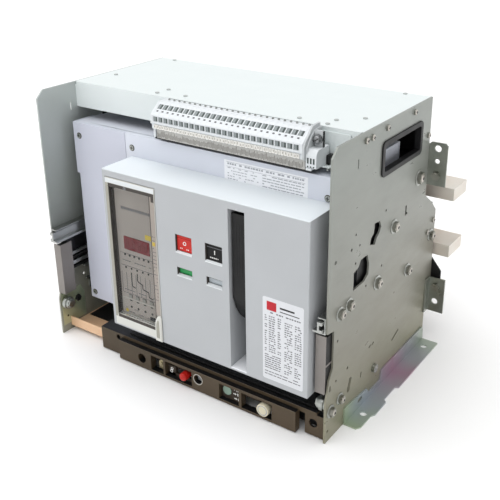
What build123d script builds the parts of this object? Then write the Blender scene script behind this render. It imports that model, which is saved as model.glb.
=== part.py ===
from build123d import *
import os
from math import cos, pi, radians, sin

# Withdrawable four-pole air circuit breaker in its cradle, in millimetres.
# Working frame: X to the right, Y to the back, Z up; x = 0 is midway between the side plates,
# y = 0 is the side plates' front edge and z = 0 the floor. Every part is moved back by CENTRE_Y
# when it is written, so that the origin lies at the bottom centre of the whole object.

# ---- driving dimensions -------------------------------------------------------------------
WIDTH = 550.0            # over the two side plates
HEIGHT = 450.0           # floor to the top cover
PLATE = 3.0              # side plate thickness
X_OUT = WIDTH / 2
X_IN = X_OUT - PLATE
PLATE_BACK = 312.0       # rear edge of the side plates beside the lifting holes
COVER_FRONT = 84.0       # front of the top cover, set back from the plates
COVER_FLANGE = 43.0      # depth of the top cover's turned-down front
SHEET = 2.0

POLE_PITCH = 115.0
POLES = [(i - 1.5) * POLE_PITCH for i in range(4)]
LINE_Z = (262.0, 284.0)  # upper terminal bars
LOAD_Z = (158.0, 180.0)  # lower terminal bars
BAR_HALF = 45.0          # half width of a terminal bar
BLADE_FRONT = 268.0
TERMINAL_BACK = 426.0
TERMINAL_HOLE_Y = 398.0
TERMINAL_HOLE_PITCH = 44.0
TERMINAL_HOLE_R = 6.5

HOUSING_X = (-250.0, 250.0)
HOUSING_Y = (62.0, 255.0)
HOUSING_Z = (58.0, 389.0)
FRONT_PLANE = 56.0       # front of the breaker's body behind the front cover
WALL = 5.0
STEP_Z = 298.0           # above this the neutral pole cover is wider
SEAM_X = -137.0          # seam between the neutral pole cover and the body front

COVER_X = (-124.0, 252.0)
COVER_Y = -14.0          # front plane of the front cover
COVER_Z = (77.0, 352.0)
SKIN = 3.0               # wall of the front cover

BEAM_X = (-177.0, 270.0)
BEAM_Y = (5.0, 46.0)
BEAM_Z = (2.0, 44.0)
PROUD_X = (-128.0, 227.0)
PROUD_Y = -4.0
PROUD_TOP = 38.0

SPINDLE_X, SPINDLE_Z, SPINDLE_R = 44.0, 24.0, 6.5
CROSS_Y, CROSS_Z, CROSS_R = 151.0, 47.0, 7.0
RACK_TRAVEL = 40.0       # connected to disconnected
PULL_TRAVEL = 200.0      # disconnected to fully drawn out

SHAFT_Y, SHAFT_Z, SHAFT_R = 150.0, 170.0, 14.0
ARM_REACH = 104.0        # main shaft to contact tip
OPEN_ANGLE = 13.0        # arm leans forward by this when the contacts are open
CHARGE_Y, CHARGE_Z, CHARGE_R = 88.0, 240.0, 8.0
HANDLE_Y, HANDLE_Z, HANDLE_PIN_R = 30.0, 165.0, 5.0
FLAG_Y, FLAG_Z, FLAG_R, FLAG_AXLE_R = 8.0, 216.5, 12.0, 2.5
FRAME_X = (10.0, 109.0, 158.0)
FRAME_T = 3.0
RUN = 0.08               # radial running clearance

FOOT_OUT = 306.0         # outer edge of the foot angles and the mounting ears
BOLT_X = 290.0           # fixing holes in feet and ears
FOOT_HOLES_Y = (92.0, 320.0)
FIX_R = 5.5

BACK_Y = TERMINAL_BACK
FRONT_Y = COVER_Y
CENTRE_Y = (BACK_Y + FRONT_Y) / 2

parts = {}


# ---- helpers ------------------------------------------------------------------------------
def box(x0, x1, y0, y1, z0, z1):
    return Pos((x0 + x1) / 2, (y0 + y1) / 2, (z0 + z1) / 2) * Box(x1 - x0, y1 - y0, z1 - z0)


def rod_x(x0, x1, y, z, r):
    return Pos((x0 + x1) / 2, y, z) * Rot(0, 90, 0) * Cylinder(r, x1 - x0)


def rod_y(x, y0, y1, z, r):
    return Pos(x, (y0 + y1) / 2, z) * Rot(90, 0, 0) * Cylinder(r, y1 - y0)


def rod_z(x, y, z0, z1, r):
    return Pos(x, y, (z0 + z1) / 2) * Cylinder(r, z1 - z0)


def slab_x(outline, x0, x1):
    """A plate between x0 and x1 with an outline of (y, z) points."""
    face = make_face(Polyline(*outline, close=True))
    return extrude(Plane.YZ.offset(x0) * face, x1 - x0)


def slab_y(outline, y0, y1):
    """A plate between y0 and y1 with an outline of (x, z) points."""
    face = make_face(Polyline(*outline, close=True))
    return extrude(Plane.XZ.offset(-y0) * face, y0 - y1)


def slab_z(outline, z0, z1):
    """A plate between z0 and z1 with an outline of (x, y) points."""
    face = make_face(Polyline(*outline, close=True))
    return extrude(Plane.XY.offset(z0) * face, z1 - z0)


def round_box_x(x0, x1, y0, y1, z0, z1, r):
    """A box whose corners are rounded as seen along X."""
    face = RectangleRounded(y1 - y0, z1 - z0, r)
    return extrude(Plane.YZ.offset(x0) * Pos((y0 + y1) / 2, (z0 + z1) / 2) * face, x1 - x0)


def slot_x(y0, z0, y1, z1, width, x0, x1):
    """A round-ended slot between two points, cut through from x0 to x1."""
    dy, dz = y1 - y0, z1 - z0
    run = (dy * dy + dz * dz) ** 0.5
    ny, nz = -dz / run * width / 2, dy / run * width / 2
    middle = slab_x([(y0 + ny, z0 + nz), (y1 + ny, z1 + nz), (y1 - ny, z1 - nz), (y0 - ny, z0 - nz)], x0, x1)
    return middle + rod_x(x0, x1, y0, z0, width / 2) + rod_x(x0, x1, y1, z1, width / 2)


def hex_x(x0, x1, y, z, across):
    """A hexagonal bar along X, measured across its flats."""
    face = RegularPolygon(across / 2, 6, major_radius=False)
    return extrude(Plane.YZ.offset(x0) * Pos(y, z) * face, x1 - x0)


def mirrored(shape):
    return mirror(shape, about=Plane.YZ)


def both_sides(shapes):
    return list(shapes) + [mirrored(s) for s in shapes]


def add(name, shapes):
    parts[name] = shapes if isinstance(shapes, list) else [shapes]


# ---- cradle: side plates ------------------------------------------------------------------
PLATE_OUTLINE = [
    (0, 0), (345, 0), (345, 58), (354, 84), (364, 110), (362, 245), (340, 266), (PLATE_BACK, 286),
    (PLATE_BACK, HEIGHT), (14, HEIGHT), (0, HEIGHT - 13), (0, 184), (18, 181), (18, 120), (8, 104),
    (4, 84), (0, 70),
]
LIFT_HOLE = (140.0, 278.0, 368.0, 422.0)     # y and z limits of the frame in the side plate
LIFT_RIM = 4.0
LIFT_OPEN = 8.0
CAM_WINDOW = [(70, 220), (104, 221), (116, 228), (117, 244), (111, 261), (90, 261), (84, 252), (70, 248)]
ROD_WINDOW = [(129, 303), (146, 301), (151, 291), (147, 283), (138, 277), (133, 268), (117, 274), (119, 283),
              (127, 288), (129, 296)]
# y, z, hexagon across flats of the bolts through each side plate
LARGE_BOLTS = [(279, 327, 17), (196, 274, 15), (346, 203, 14), (257, 175, 14), (147, 200, 15),
               (33, 201, 14), (59, 203, 14), (41, 55, 12), (14, 49, 13)]
SMALL_SCREWS = [(246, 441), (154, 440), (108, 438), (90, 438), (304, 390), (330, 214), (352, 229)]
LARGE_SHANK, SMALL_SHANK, SHANK_GAP = 4.0, 2.5, 0.2
SMALL_HOLES = [(165, 311, 2), (72, 307, 2), (85, 286, 2), (61, 288, 2.5), (74, 262, 2), (160, 223, 2),
               (110, 211, 2), (29, 159, 2), (28, 93, 2), (7, 18, 2.5), (16, 287, 3)]


def side_plate(interlocked):
    """Side plate; the interlocks' windows and slots are only in the right one."""
    x0, x1 = X_IN - 1, X_OUT + 1
    plate = slab_x(PLATE_OUTLINE, X_IN, X_OUT)
    y0, y1, z0, z1 = LIFT_HOLE
    plate -= round_box_x(x0, x1, y0 + LIFT_RIM, y1 - LIFT_RIM, z0 + LIFT_RIM, z1 - LIFT_RIM, 6)
    if interlocked:
        plate -= slab_x(CAM_WINDOW, x0, x1)
        plate -= slab_x(ROD_WINDOW, x0, x1)
        plate -= slot_x(237, 280, 237, 292, 5, x0, x1)
        plate -= slot_x(237, 280, 241, 280, 4, x0, x1)
        plate -= slot_x(73, 70, 68, 54, 8, x0, x1)
        plate -= slot_x(11, 92, 11, 86, 4, x0, x1)
        for y, z, r in SMALL_HOLES:
            plate -= rod_x(x0, x1, y, z, r)
    plate -= slot_x(70, 405, 70, 416, 3, x0, x1)
    plate -= slot_x(237, 72, 216, 64, 4, x0, x1)
    plate -= slot_x(108, 62, 107, 55, 3, x0, x1)
    for y in (134, 144):
        plate -= slot_x(y - 2, 94, y + 2, 96, 3, x0, x1)
    plate -= rod_x(x0, x1, 62, 96, 2.5)
    for y, z, _ in LARGE_BOLTS:
        plate -= rod_x(x0, x1, y, z, LARGE_SHANK + SHANK_GAP)
    for y, z in SMALL_SCREWS:
        plate -= rod_x(x0, x1, y, z, SMALL_SHANK + SHANK_GAP)
    plate -= rod_x(x0, x1, CROSS_Y, CROSS_Z, CROSS_R + RUN)
    return plate


def cradle_bolts():
    heads = []
    for y, z, across in LARGE_BOLTS:
        bolt = rod_x(X_OUT, X_OUT + 1.2, y, z, across * 0.68) + hex_x(X_OUT + 1.2, X_OUT + 6.5, y, z, across)
        heads.append(bolt + rod_x(X_IN, X_OUT, y, z, LARGE_SHANK))
    for y, z in SMALL_SCREWS:
        heads.append(rod_x(X_OUT, X_OUT + 2.6, y, z, 4.6) + rod_x(X_IN, X_OUT, y, z, SMALL_SHANK))
    return both_sides(heads)


def lifting_frame():
    y0, y1, z0, z1 = LIFT_HOLE
    gap = LIFT_RIM + 0.2
    frame = round_box_x(X_OUT, X_OUT + 2.5, y0, y1, z0, z1, 9)
    frame += round_box_x(X_IN - 5, X_OUT, y0 + gap, y1 - gap, z0 + gap, z1 - gap, 6)
    return frame - round_box_x(X_IN - 6, X_OUT + 4, y0 + LIFT_OPEN, y1 - LIFT_OPEN, z0 + LIFT_OPEN, z1 - LIFT_OPEN, 4)


add("cradle_right_plate", side_plate(True))
add("cradle_left_plate", mirrored(side_plate(False)))
add("cradle_bolts", cradle_bolts())
add("lifting_frames", both_sides([lifting_frame()]))


# ---- cradle: top cover, bottom pan, feet, ears --------------------------------------------
TOP_SCREWS = [(-100, 98), (-98, 123), (-49, 106), (165, 98), (213, 94), (214, 117), (244, 146),
              (232, 304), (-246, 156), (-238, 304)]


def top_cover():
    z0 = HEIGHT - SHEET
    cover = box(-X_IN, X_IN, COVER_FRONT, PLATE_BACK, z0, HEIGHT)
    cover += box(-X_IN, X_IN, COVER_FRONT, COVER_FRONT + SHEET, HEIGHT - COVER_FLANGE, z0)
    cover += box(-X_IN, X_IN, PLATE_BACK - SHEET, PLATE_BACK, HEIGHT - 30, z0)
    for x in (-X_IN, X_IN - SHEET):
        cover += box(x, x + SHEET, COVER_FRONT + SHEET, PLATE_BACK - SHEET, HEIGHT - 20, z0)
    for x in (-X_IN, X_IN):
        cover -= rod_z(x, COVER_FRONT, z0 - 3, HEIGHT + 1, 3)
    return cover


def bottom_pan():
    pan = box(-X_IN, X_IN, 50, 294, 8, 10.5)
    pan += box(-X_IN, BEAM_X[0] - 5, 20, 50, 8, 10.5)
    pan += box(-X_IN, BEAM_X[0] - 5, 20, 22, 10.5, 26)
    for y in (56.0, 226.0):
        bearing = box(SPINDLE_X - 16, SPINDLE_X + 16, y, y + 4, 10.5, 38)
        pan += bearing - rod_y(SPINDLE_X, y - 1, y + 5, SPINDLE_Z, SPINDLE_R + RUN)
    return pan


LEG_OUTLINE = [(54, 0), (343, 0), (341, 22), (336, 29), (178, 29), (173, 12), (134, 12), (127, 22), (60, 30), (54, 28)]
FLANGE_OUTLINE = [
    (X_OUT + 2.5, 54), (297, 54), (302, 62), (302, 94), (FOOT_OUT, 101), (FOOT_OUT, 138), (300.5, 142),
    (300.5, 182), (FOOT_OUT, 185), (FOOT_OUT, 343), (X_OUT + 2.5, 343),
]


def foot_angle():
    leg = slab_x(LEG_OUTLINE, X_OUT, X_OUT + 2.5)
    foot = leg + slab_z(FLANGE_OUTLINE, 0, 2.5)
    for y in FOOT_HOLES_Y:
        foot -= rod_z(BOLT_X, y, -1, 4, FIX_R)
    foot -= slot_x(100, 16, 108, 16, 7, X_OUT - 1, X_OUT + 4)
    return foot


# z of the fixing hole, the spare hole and the bolt in each ear
UPPER_EAR = (368.0, 347.0, 323.0)
LOWER_EAR = (77.0, None, 106.0)
UPPER_EAR_Y, LOWER_EAR_Y, EAR_T = PLATE_BACK, 352.0, 3.0


def ear_bolt(y, z):
    head = Plane.XZ.offset(-y + 5.2) * Pos(BOLT_X, z) * RegularPolygon(6.5, 6, major_radius=False)
    bolt = extrude(head, -5.2)
    return bolt + rod_y(BOLT_X, y, y + EAR_T, z, LARGE_SHANK)


def drill_ear(ear, y, heights):
    fixing, spare, bolt = heights
    ear -= rod_y(BOLT_X, y - 1, y + EAR_T + 1, fixing, FIX_R)
    ear -= rod_y(BOLT_X, y - 1, y + EAR_T + 1, bolt, LARGE_SHANK + SHANK_GAP)
    if spare:
        ear -= rod_y(BOLT_X, y - 1, y + EAR_T + 1, spare, 4)
    return ear


def upper_ear():
    """Angle inside the plate whose flange turns outwards behind the plate."""
    y = UPPER_EAR_Y
    flange = slab_y([(X_IN - 3, 306), (FOOT_OUT, 306), (FOOT_OUT, 374), (FOOT_OUT - 4, 378),
                     (X_OUT + 4, 378), (X_IN - 3, 369)], y, y + EAR_T)
    return drill_ear(flange + box(X_IN - 3, X_IN, y - 42, y, 306, 369), y, UPPER_EAR)


def lower_ear():
    """Angle on the outside of the plate, at its lower rear corner."""
    y = LOWER_EAR_Y
    flange = box(X_OUT, FOOT_OUT, y, y + EAR_T, 57, 122)
    return drill_ear(flange + box(X_OUT, X_OUT + 3, y - 14, y, 57, 122), y, LOWER_EAR)


add("cradle_top_cover", top_cover())
add("cover_screws", [rod_z(x, y, HEIGHT, HEIGHT + 1.6, 3.4) for x, y in TOP_SCREWS])
add("cradle_bottom_pan", bottom_pan())
add("foot_angles", both_sides([foot_angle()]))
add("mounting_ears", both_sides([upper_ear(), lower_ear()]))
parts["cradle_bolts"] += both_sides([ear_bolt(UPPER_EAR_Y, UPPER_EAR[2]), ear_bolt(LOWER_EAR_Y, LOWER_EAR[2])])


# ---- cradle: rear insulating base and terminals -------------------------------------------
BASE_Y = (296.0, 330.0)
BASE_Z = (62.0, 300.0)
RIB_BACK = 364.5
BAFFLE_TOP = 419.0       # the board above the base closes the back up to the top cover's flange
WING = [(262, 100), (262, 166), (270, 157), (292, 130), (292, 92), (262, 92)]
FIT_GAP = 0.4


def rear_base():
    """Base slab, upper board, slide-in phase barriers, outer wings and shutter guide posts."""
    slab = box(-268, 268, *BASE_Y, *BASE_Z)
    for z0, z1 in (LINE_Z, LOAD_Z):
        for x in POLES:
            slab -= box(x - BAR_HALF - FIT_GAP, x + BAR_HALF + FIT_GAP, BASE_Y[0] - 1, BASE_Y[1] + 1,
                        z0 - FIT_GAP, z1 + FIT_GAP)
    baffle = box(-268, 268, 302.5, 306, BASE_Z[1], BAFFLE_TOP)
    pieces = [slab, baffle]
    for x in (-265, -POLE_PITCH, 0, POLE_PITCH, 265):
        pieces.append(box(x - 3, x + 3, BASE_Y[1], RIB_BACK, 100, 256))
    wing = slab_y(WING, RIB_BACK, RIB_BACK + 4)
    post = box(226, 253, 261.5, BASE_Y[0], 70, 362)
    head = box(226, 253, BASE_Y[0], 302, BASE_Z[1], 362)
    return pieces + both_sides([wing, post, head])


def terminal_bars(z0, z1):
    bars = []
    for x in POLES:
        bar = box(x - BAR_HALF, x + BAR_HALF, BLADE_FRONT, TERMINAL_BACK, z0, z1)
        if abs(x) > POLE_PITCH:
            inner, outer = sorted((x, 302.0 if x > 0 else -302.0))
            bar += box(inner, outer, 369, TERMINAL_BACK, z0, z1)
        for side in (-0.5, 0.5):
            bar -= rod_z(x + side * TERMINAL_HOLE_PITCH, TERMINAL_HOLE_Y, z0 - 1, z1 + 1, TERMINAL_HOLE_R)
        bars.append(chamfer(bar.edges().filter_by(Axis.X).group_by(Axis.Y)[0], 3))
    return bars


add("rear_base", rear_base())
add("line_terminals", terminal_bars(*LINE_Z))
add("load_terminals", terminal_bars(*LOAD_Z))


# ---- cradle: draw-out rails, posts, stops -------------------------------------------------
RAIL_Z = (183.0, 208.0)
CHANNEL_Y = (-2.0, 292.0)


def guide_channel():
    channel = box(260, X_IN, *CHANNEL_Y, *RAIL_Z)
    return channel - box(259, X_IN - 2, CHANNEL_Y[0] - 1, CHANNEL_Y[1] + 1, RAIL_Z[0] + 2, RAIL_Z[1] - 2)


def sliding_rail():
    rail = box(262, 269.5, -8, 286, 187, 204)
    rail += box(255, 262, -8, 286, 187, 190)
    return rail - box(265, 270, -9, 287, 192, 199)


def front_post():
    post = box(256, X_IN, 0, 26, 84, 179) - box(258, X_IN + 1, 2, 27, 83, 180)
    return post + box(258, X_IN, 2, 26, 128, 131)


def stop_roller():
    roller = rod_x(257, X_IN, 12, 60, 9) + rod_x(262, 268, 12, 60, 11.5)
    return roller + hex_x(254.5, 257, 12, 60, 14)


add("guide_channels", both_sides([guide_channel()]))
add("sliding_rails", both_sides([sliding_rail()]))
add("front_posts", both_sides([front_post()]))
add("stop_rollers", both_sides([stop_roller()]))


# ---- cradle: racking beam and drive -------------------------------------------------------
CRANK_HOLE_R = 8.5
SIGHT_HOLE_X, END_HOLE_X = -76.0, 252.0
LOCK_X, LOCK_Z, LOCK_R = 17.0, 21.0, 7.0
CREAM_X, CREAM_Z, CREAM_R = 170.0, 19.0, 10.5
DIAL_X, DIAL_Z, DIAL_R = 97.0, 21.0, 8.0


def racking_beam():
    beam = box(*BEAM_X, *BEAM_Y, *BEAM_Z)
    beam += box(*PROUD_X, PROUD_Y, BEAM_Y[0], BEAM_Z[0], PROUD_TOP)
    beam -= box(BEAM_X[0] + 3, BEAM_X[1] - 3, BEAM_Y[0] + 3, BEAM_Y[1] + 1, BEAM_Z[0] - 1, BEAM_Z[1] - 3)
    y0, y1 = PROUD_Y - 1, BEAM_Y[0] + 4
    for x0, x1 in ((-56, -29), (-25, 31), (86, 124), (129, 185)):
        beam -= box(x0, x1, y0, y1, 6, 33)
    beam -= box(PROUD_X[1], PROUD_X[1] + 11, BEAM_Y[0] - 1, y1, 1, 36)
    beam -= rod_y(SIGHT_HOLE_X, y0, y1, 20, 8.5)
    beam -= rod_y(-137, y0, y1, 36, 4.5)
    beam -= rod_y(END_HOLE_X, y0, y1, 24, 7)
    beam -= rod_y(SPINDLE_X, y0, y1, SPINDLE_Z, CRANK_HOLE_R)
    beam -= box(258, 271, 4, 47, 40, 45)
    return beam


def beam_inserts():
    plate = box(86.5, 123.5, 3, 6, 6.5, 32.5) - rod_y(DIAL_X, 2, 7, DIAL_Z, DIAL_R + 0.5)
    left_barrel = rod_x(-24, 8.5, 12, 25, 6.5)
    right_barrel = rod_x(130, 157, 12, 25, 6.5)
    return [plate, left_barrel, right_barrel]


def racking_spindle():
    spindle = rod_y(SPINDLE_X, 8, 232, SPINDLE_Z, SPINDLE_R)
    square = 4.4
    return spindle + box(SPINDLE_X - square, SPINDLE_X + square, 1, 8, SPINDLE_Z - square, SPINDLE_Z + square)


def drive_nut():
    nut = box(SPINDLE_X - 15, SPINDLE_X + 15, 104, 128, 12, 36)
    return nut - rod_y(SPINDLE_X, 103, 129, SPINDLE_Z, SPINDLE_R + RUN)


def racking_shaft():
    shaft = rod_x(-X_OUT - 5, X_OUT + 5, CROSS_Y, CROSS_Z, CROSS_R)
    for x in (-264.0, 258.0):
        lever = slab_x([(CROSS_Y - 11, CROSS_Z - 6), (CROSS_Y + 11, CROSS_Z - 6), (CROSS_Y + 9, 92), (CROSS_Y - 5, 96)],
                       x, x + 6)
        shaft += lever
    return shaft


add("racking_beam", racking_beam())
add("beam_inserts", beam_inserts())
add("racking_spindle", racking_spindle())
add("drive_nut", drive_nut())
add("racking_shaft", racking_shaft())
add("position_dial", rod_y(DIAL_X, 2.5, 5.5, DIAL_Z, DIAL_R) + rod_y(DIAL_X, 5.5, 20, DIAL_Z, 2.5))
add("lock_release_button", fillet((rod_y(LOCK_X, -11, 24, LOCK_Z, LOCK_R)).edges().group_by(Axis.Y)[0], 2.5))
add("position_lock_button", rod_y(CREAM_X, -7, 2, CREAM_Z, CREAM_R) + rod_y(CREAM_X, 2, 26, CREAM_Z, 6))


# ---- cradle: shutters ---------------------------------------------------------------------
SHUTTER_Y = (258.0, 260.5)
SHUTTER_X = 244.0
add("upper_shutter", box(-SHUTTER_X, SHUTTER_X, *SHUTTER_Y, 301, 358))
add("lower_shutter", box(-SHUTTER_X, SHUTTER_X, *SHUTTER_Y, 84, 141))


# ---- cradle: secondary terminals ----------------------------------------------------------
BLOCK_X = (-66.0, 205.0)
WAYS = 26
WAY_PITCH = (BLOCK_X[1] - BLOCK_X[0] - 10) / WAYS
BLOCK_OUTLINE = [(82, 397), (47, 397), (47, 410), (44, 411), (44, 418.5), (41, 420), (41, 433.5), (47, 438.5),
                 (62, 450), (82, 450)]


def way_x(i):
    return BLOCK_X[0] + 5 + WAY_PITCH * (i + 0.5)


def terminal_block():
    block = slab_x(BLOCK_OUTLINE, *BLOCK_X)
    for i in range(WAYS):
        x = way_x(i)
        block -= box(x - 1.95, x + 1.95, 38, 50, 423, 426.9)
        block -= box(x - 1.95, x + 1.95, 50, 64, 441, 444.9)
    return block


def terminal_screws():
    screws = []
    for i in range(WAYS):
        screws.append(rod_z(way_x(i), 76, 450, 451.6, 1.8))
    return screws


def terminal_end_parts():
    stop = slab_x([(82, 398), (46, 398), (40, 412), (40, 428), (54, 446), (62, 454), (70, 456), (82, 456)], 206, 216)
    socket = box(218, 246, 44, 82, 401, 432)
    for x in (222.0, 230.0, 238.0):
        socket -= box(x, x + 3, 43, 50, 408, 420)
    screw = rod_y(232, 74, 82, 444, 7)
    return [stop, socket, screw]


def terminal_bracket():
    """Mounting rail behind the strip, with a shelf under the socket."""
    return box(-60, 256, 82, COVER_FRONT, 398, 444) + box(218, 256, 64, 82, 398, 400.5)


add("terminal_block", terminal_block())
add("terminal_screws", terminal_screws())
add("terminal_end_parts", terminal_end_parts())
add("terminal_bracket", terminal_bracket())


# ---- breaker: housing ---------------------------------------------------------------------
SERVICE = (-100.0, 235.0, 90.0, 335.0)       # opening behind the front cover
CLUSTER_HALF = 46.0


def breaker_housing():
    """Front and rear mouldings, side, top and bottom walls, and the partitions between the poles."""
    x0, x1 = HOUSING_X
    y0, y1 = HOUSING_Y
    z0, z1 = HOUSING_Z
    front = box(x0, x1, y0, y0 + WALL, z0, z1) + box(SEAM_X + 0.5, x1, FRONT_PLANE, y0, z0, z1)
    front -= box(SERVICE[0], SERVICE[1], FRONT_PLANE - 1, y0 + WALL + 1, SERVICE[2], SERVICE[3])
    rear = box(x0, x1, y1 - WALL, y1, z0, z1)
    top = box(x0, x1, y0 + WALL, y1 - WALL, z1 - WALL, z1)
    for x in POLES:
        for bar in (LINE_Z, LOAD_Z):
            rear -= box(x - CLUSTER_HALF, x + CLUSTER_HALF, y1 - WALL - 1, y1 + 1, bar[0] - 12, bar[1] + 12)
        for i in range(5):
            y = 130 + i * 16.0
            top -= box(x - 30, x + 30, y, y + 6, z1 - WALL - 1, z1 + 1)
    walls = [front, rear, top, box(x0, x1, y0 + WALL, y1 - WALL, z0, z0 + WALL)]
    for x in (x0, x1 - WALL):
        walls.append(box(x, x + WALL, y0 + WALL, y1 - WALL, z0 + WALL, z1 - WALL))
    for x in (-POLE_PITCH, 0, POLE_PITCH):
        partition = box(x - 2, x + 2, 130, y1 - WALL, z0 + WALL, z1 - WALL)
        walls.append(partition - rod_x(x - 3, x + 3, SHAFT_Y, SHAFT_Z, SHAFT_R + 2))
    return walls


def neutral_pole_cover():
    outline = [(SEAM_X - 0.5, HOUSING_Z[0]), (SEAM_X - 0.5, HOUSING_Z[1]), (-256, HOUSING_Z[1]), (-256, STEP_Z),
               (HOUSING_X[0], STEP_Z), (HOUSING_X[0], HOUSING_Z[0])]
    cover = slab_y(outline, FRONT_PLANE, HOUSING_Y[0])
    return cover + box(-256, HOUSING_X[0] - 0.3, HOUSING_Y[0], HOUSING_Y[0] + 40, STEP_Z, HOUSING_Z[1])


BODY_SCREWS = [(-243, 366), (-123, 366), (-240, 70), (238, 358)]
FRONT_SCREWS = [(166, 330), (166, 95), (8, 335), (8, 92)]
SCREW_PITCH_R = 4.2


def breaker_screws():
    screws = []
    for x, z in BODY_SCREWS:
        screws.append(rod_y(x, FRONT_PLANE - 1.6, FRONT_PLANE, z, SCREW_PITCH_R))
    return screws


def support_rollers():
    return both_sides([rod_x(HOUSING_X[1], 259.5, y, 195.8, 5) for y in (100, 220)])


add("breaker_housing", breaker_housing())
add("neutral_pole_cover", neutral_pole_cover())
add("breaker_screws", breaker_screws())
add("support_rollers", support_rollers())
add("secondary_plugs", [box(x - 30, x + 30, 92, 190, HOUSING_Z[1], HOUSING_Z[1] + 4) for x in (-20, 60, 140)])


# ---- breaker: main contacts ---------------------------------------------------------------
FINGERS = 8


def finger_cluster(x, z0, z1):
    """Spring fingers that clamp the cradle's blade from above and below, between two cheeks."""
    half = 40.0
    top = box(x - half, x + half, 236, 292, z1 + FIT_GAP, z1 + 7)
    bottom = box(x - half, x + half, 236, 292, z0 - 7, z0 - FIT_GAP)
    pitch = 2 * half / FINGERS
    for i in range(1, FINGERS):
        gap = x - half + i * pitch
        slit = box(gap - 1, gap + 1, 256, 293, z0 - 8, z1 + 8)
        top -= slit
        bottom -= slit
    cheeks = [box(side, side + 1.5, 236, 254, z0 - FIT_GAP, z1 + FIT_GAP) for side in (x - half, x + half - 1.5)]
    return [top, bottom] + cheeks


def breaker_bars(z0, z1, upper):
    bars = []
    for x in POLES:
        bar = box(x - 36, x + 36, 205, 262, z0, z1)
        if upper:
            bar += box(x - 18, x + 18, 185.4, 205, z0 - 6, z1 + 4)
        bars.append(bar)
    return bars


def flexible_link(x):
    return slab_x([(206, 181), (206, 184), (178, 198), (174, 196), (174, 193)], x - 16, x + 16) \
        + box(x - 16, x + 16, 206, 222, 180, 184)


def arc_chute(x):
    chute = box(x - 44, x + 44, 112, 222, 300, 378)
    for i in range(9):
        y = 120 + i * 11.0
        chute -= box(x - 38, x + 38, y, y + 7, 299, 370)
    return chute


def moving_contact(x):
    """Contact arm on the main shaft, leaning forward when open."""
    half, width = 17.0, 8.0
    arm = slab_x([(-width, 12), (width, 12), (width, ARM_REACH), (-width + 3, ARM_REACH)], x - half, x + half)
    arm += box(x - half, x + half, width - 3, width, ARM_REACH - 18, ARM_REACH)
    arm = arm.rotate(Axis.X, OPEN_ANGLE).translate((0, SHAFT_Y, SHAFT_Z))
    arm += rod_x(x - half, x + half, SHAFT_Y, SHAFT_Z, 22)
    return arm - rod_x(x - half - 1, x + half + 1, SHAFT_Y, SHAFT_Z, SHAFT_R)


add("finger_clusters", [piece for z in (LINE_Z, LOAD_Z) for x in POLES for piece in finger_cluster(x, *z)])
add("upper_contacts", breaker_bars(*LINE_Z, True))
add("lower_contacts", breaker_bars(*LOAD_Z, False))
add("flexible_links", [flexible_link(x) for x in POLES])
add("arc_chutes", [arc_chute(x) for x in POLES])
add("main_shaft", rod_x(-243, 243, SHAFT_Y, SHAFT_Z, SHAFT_R))
add("moving_contacts", [moving_contact(x) for x in POLES])


# ---- breaker: operating mechanism ---------------------------------------------------------
def mechanism_frames():
    frames = []
    for x in FRAME_X:
        plate = box(x, x + FRAME_T, 2, 108, 105, 298)
        plate -= rod_x(x - 1, x + FRAME_T + 1, CHARGE_Y, CHARGE_Z, CHARGE_R + RUN)
        frames.append(plate)
    flag_axle = rod_x(FRAME_X[0] + FRAME_T, FRAME_X[1], FLAG_Y, FLAG_Z, FLAG_AXLE_R)
    handle_pin = rod_x(FRAME_X[1] + FRAME_T, FRAME_X[2], HANDLE_Y, HANDLE_Z, HANDLE_PIN_R)
    return frames + [flag_axle, handle_pin]


def charging_shaft():
    shaft = rod_x(4, 168, CHARGE_Y, CHARGE_Z, CHARGE_R)
    wheel = rod_x(125, 133, CHARGE_Y, CHARGE_Z, 27)
    for i in range(18):
        a = 2 * pi * i / 18
        wheel -= rod_x(124, 134, CHARGE_Y + 28 * cos(a), CHARGE_Z + 28 * sin(a), 3)
    cam = rod_x(82, 92, CHARGE_Y, CHARGE_Z, 16) + rod_x(82, 92, CHARGE_Y + 6, CHARGE_Z, 16)
    return shaft + wheel + cam


def coil_spring(x, y, z0, z1, coils):
    """A close coil spring as one turned solid with a wavy outside."""
    pitch = (z1 - z0) / coils
    profile = [(7.0, z0)]
    for i in range(coils):
        profile += [(11.0, z0 + pitch * i), (13.0, z0 + pitch * (i + 0.5))]
    profile += [(11.0, z1), (7.0, z1)]
    face = make_face(Polyline(*profile, close=True))
    return Pos(x, y, 0) * revolve(Plane.XZ * face, Axis.Z)


def release_coil(x):
    coil = box(x - 14, x + 14, 74, 112, 262, 306)
    return coil + rod_z(x, 93, 306, 322, 4)


def flag_drum(x0, x1):
    drum = rod_x(x0, x1, FLAG_Y, FLAG_Z, FLAG_R)
    return drum - rod_x(x0 - 1, x1 + 1, FLAG_Y, FLAG_Z, FLAG_AXLE_R + RUN)


def charging_handle():
    """Lever behind the slot: straight grip above, curving back to its pivot below."""
    top = 333.0
    front, back = -9.0, 7.0
    grip = slab_x([(front, 200), (front, top), (back, top), (back + 3, 196), (34, 176), (34, 152), (20, 150),
                   (8, 162), (-3, 180)], 121.5, 144)
    grip += rod_x(121.5, 144, HANDLE_Y, HANDLE_Z, 13)
    return grip - rod_x(120, 146, HANDLE_Y, HANDLE_Z, HANDLE_PIN_R + RUN)


add("mechanism_frames", mechanism_frames())
add("charging_shaft", charging_shaft())
add("closing_springs", [coil_spring(x, 92, 120, 300, 16) for x in (186, 218)])
add("release_coils", [release_coil(x) for x in (-85, -50, -15)])
add("contact_flag", flag_drum(22, 49))
add("charge_flag", flag_drum(78, 105))
add("charging_handle", charging_handle())


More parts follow.
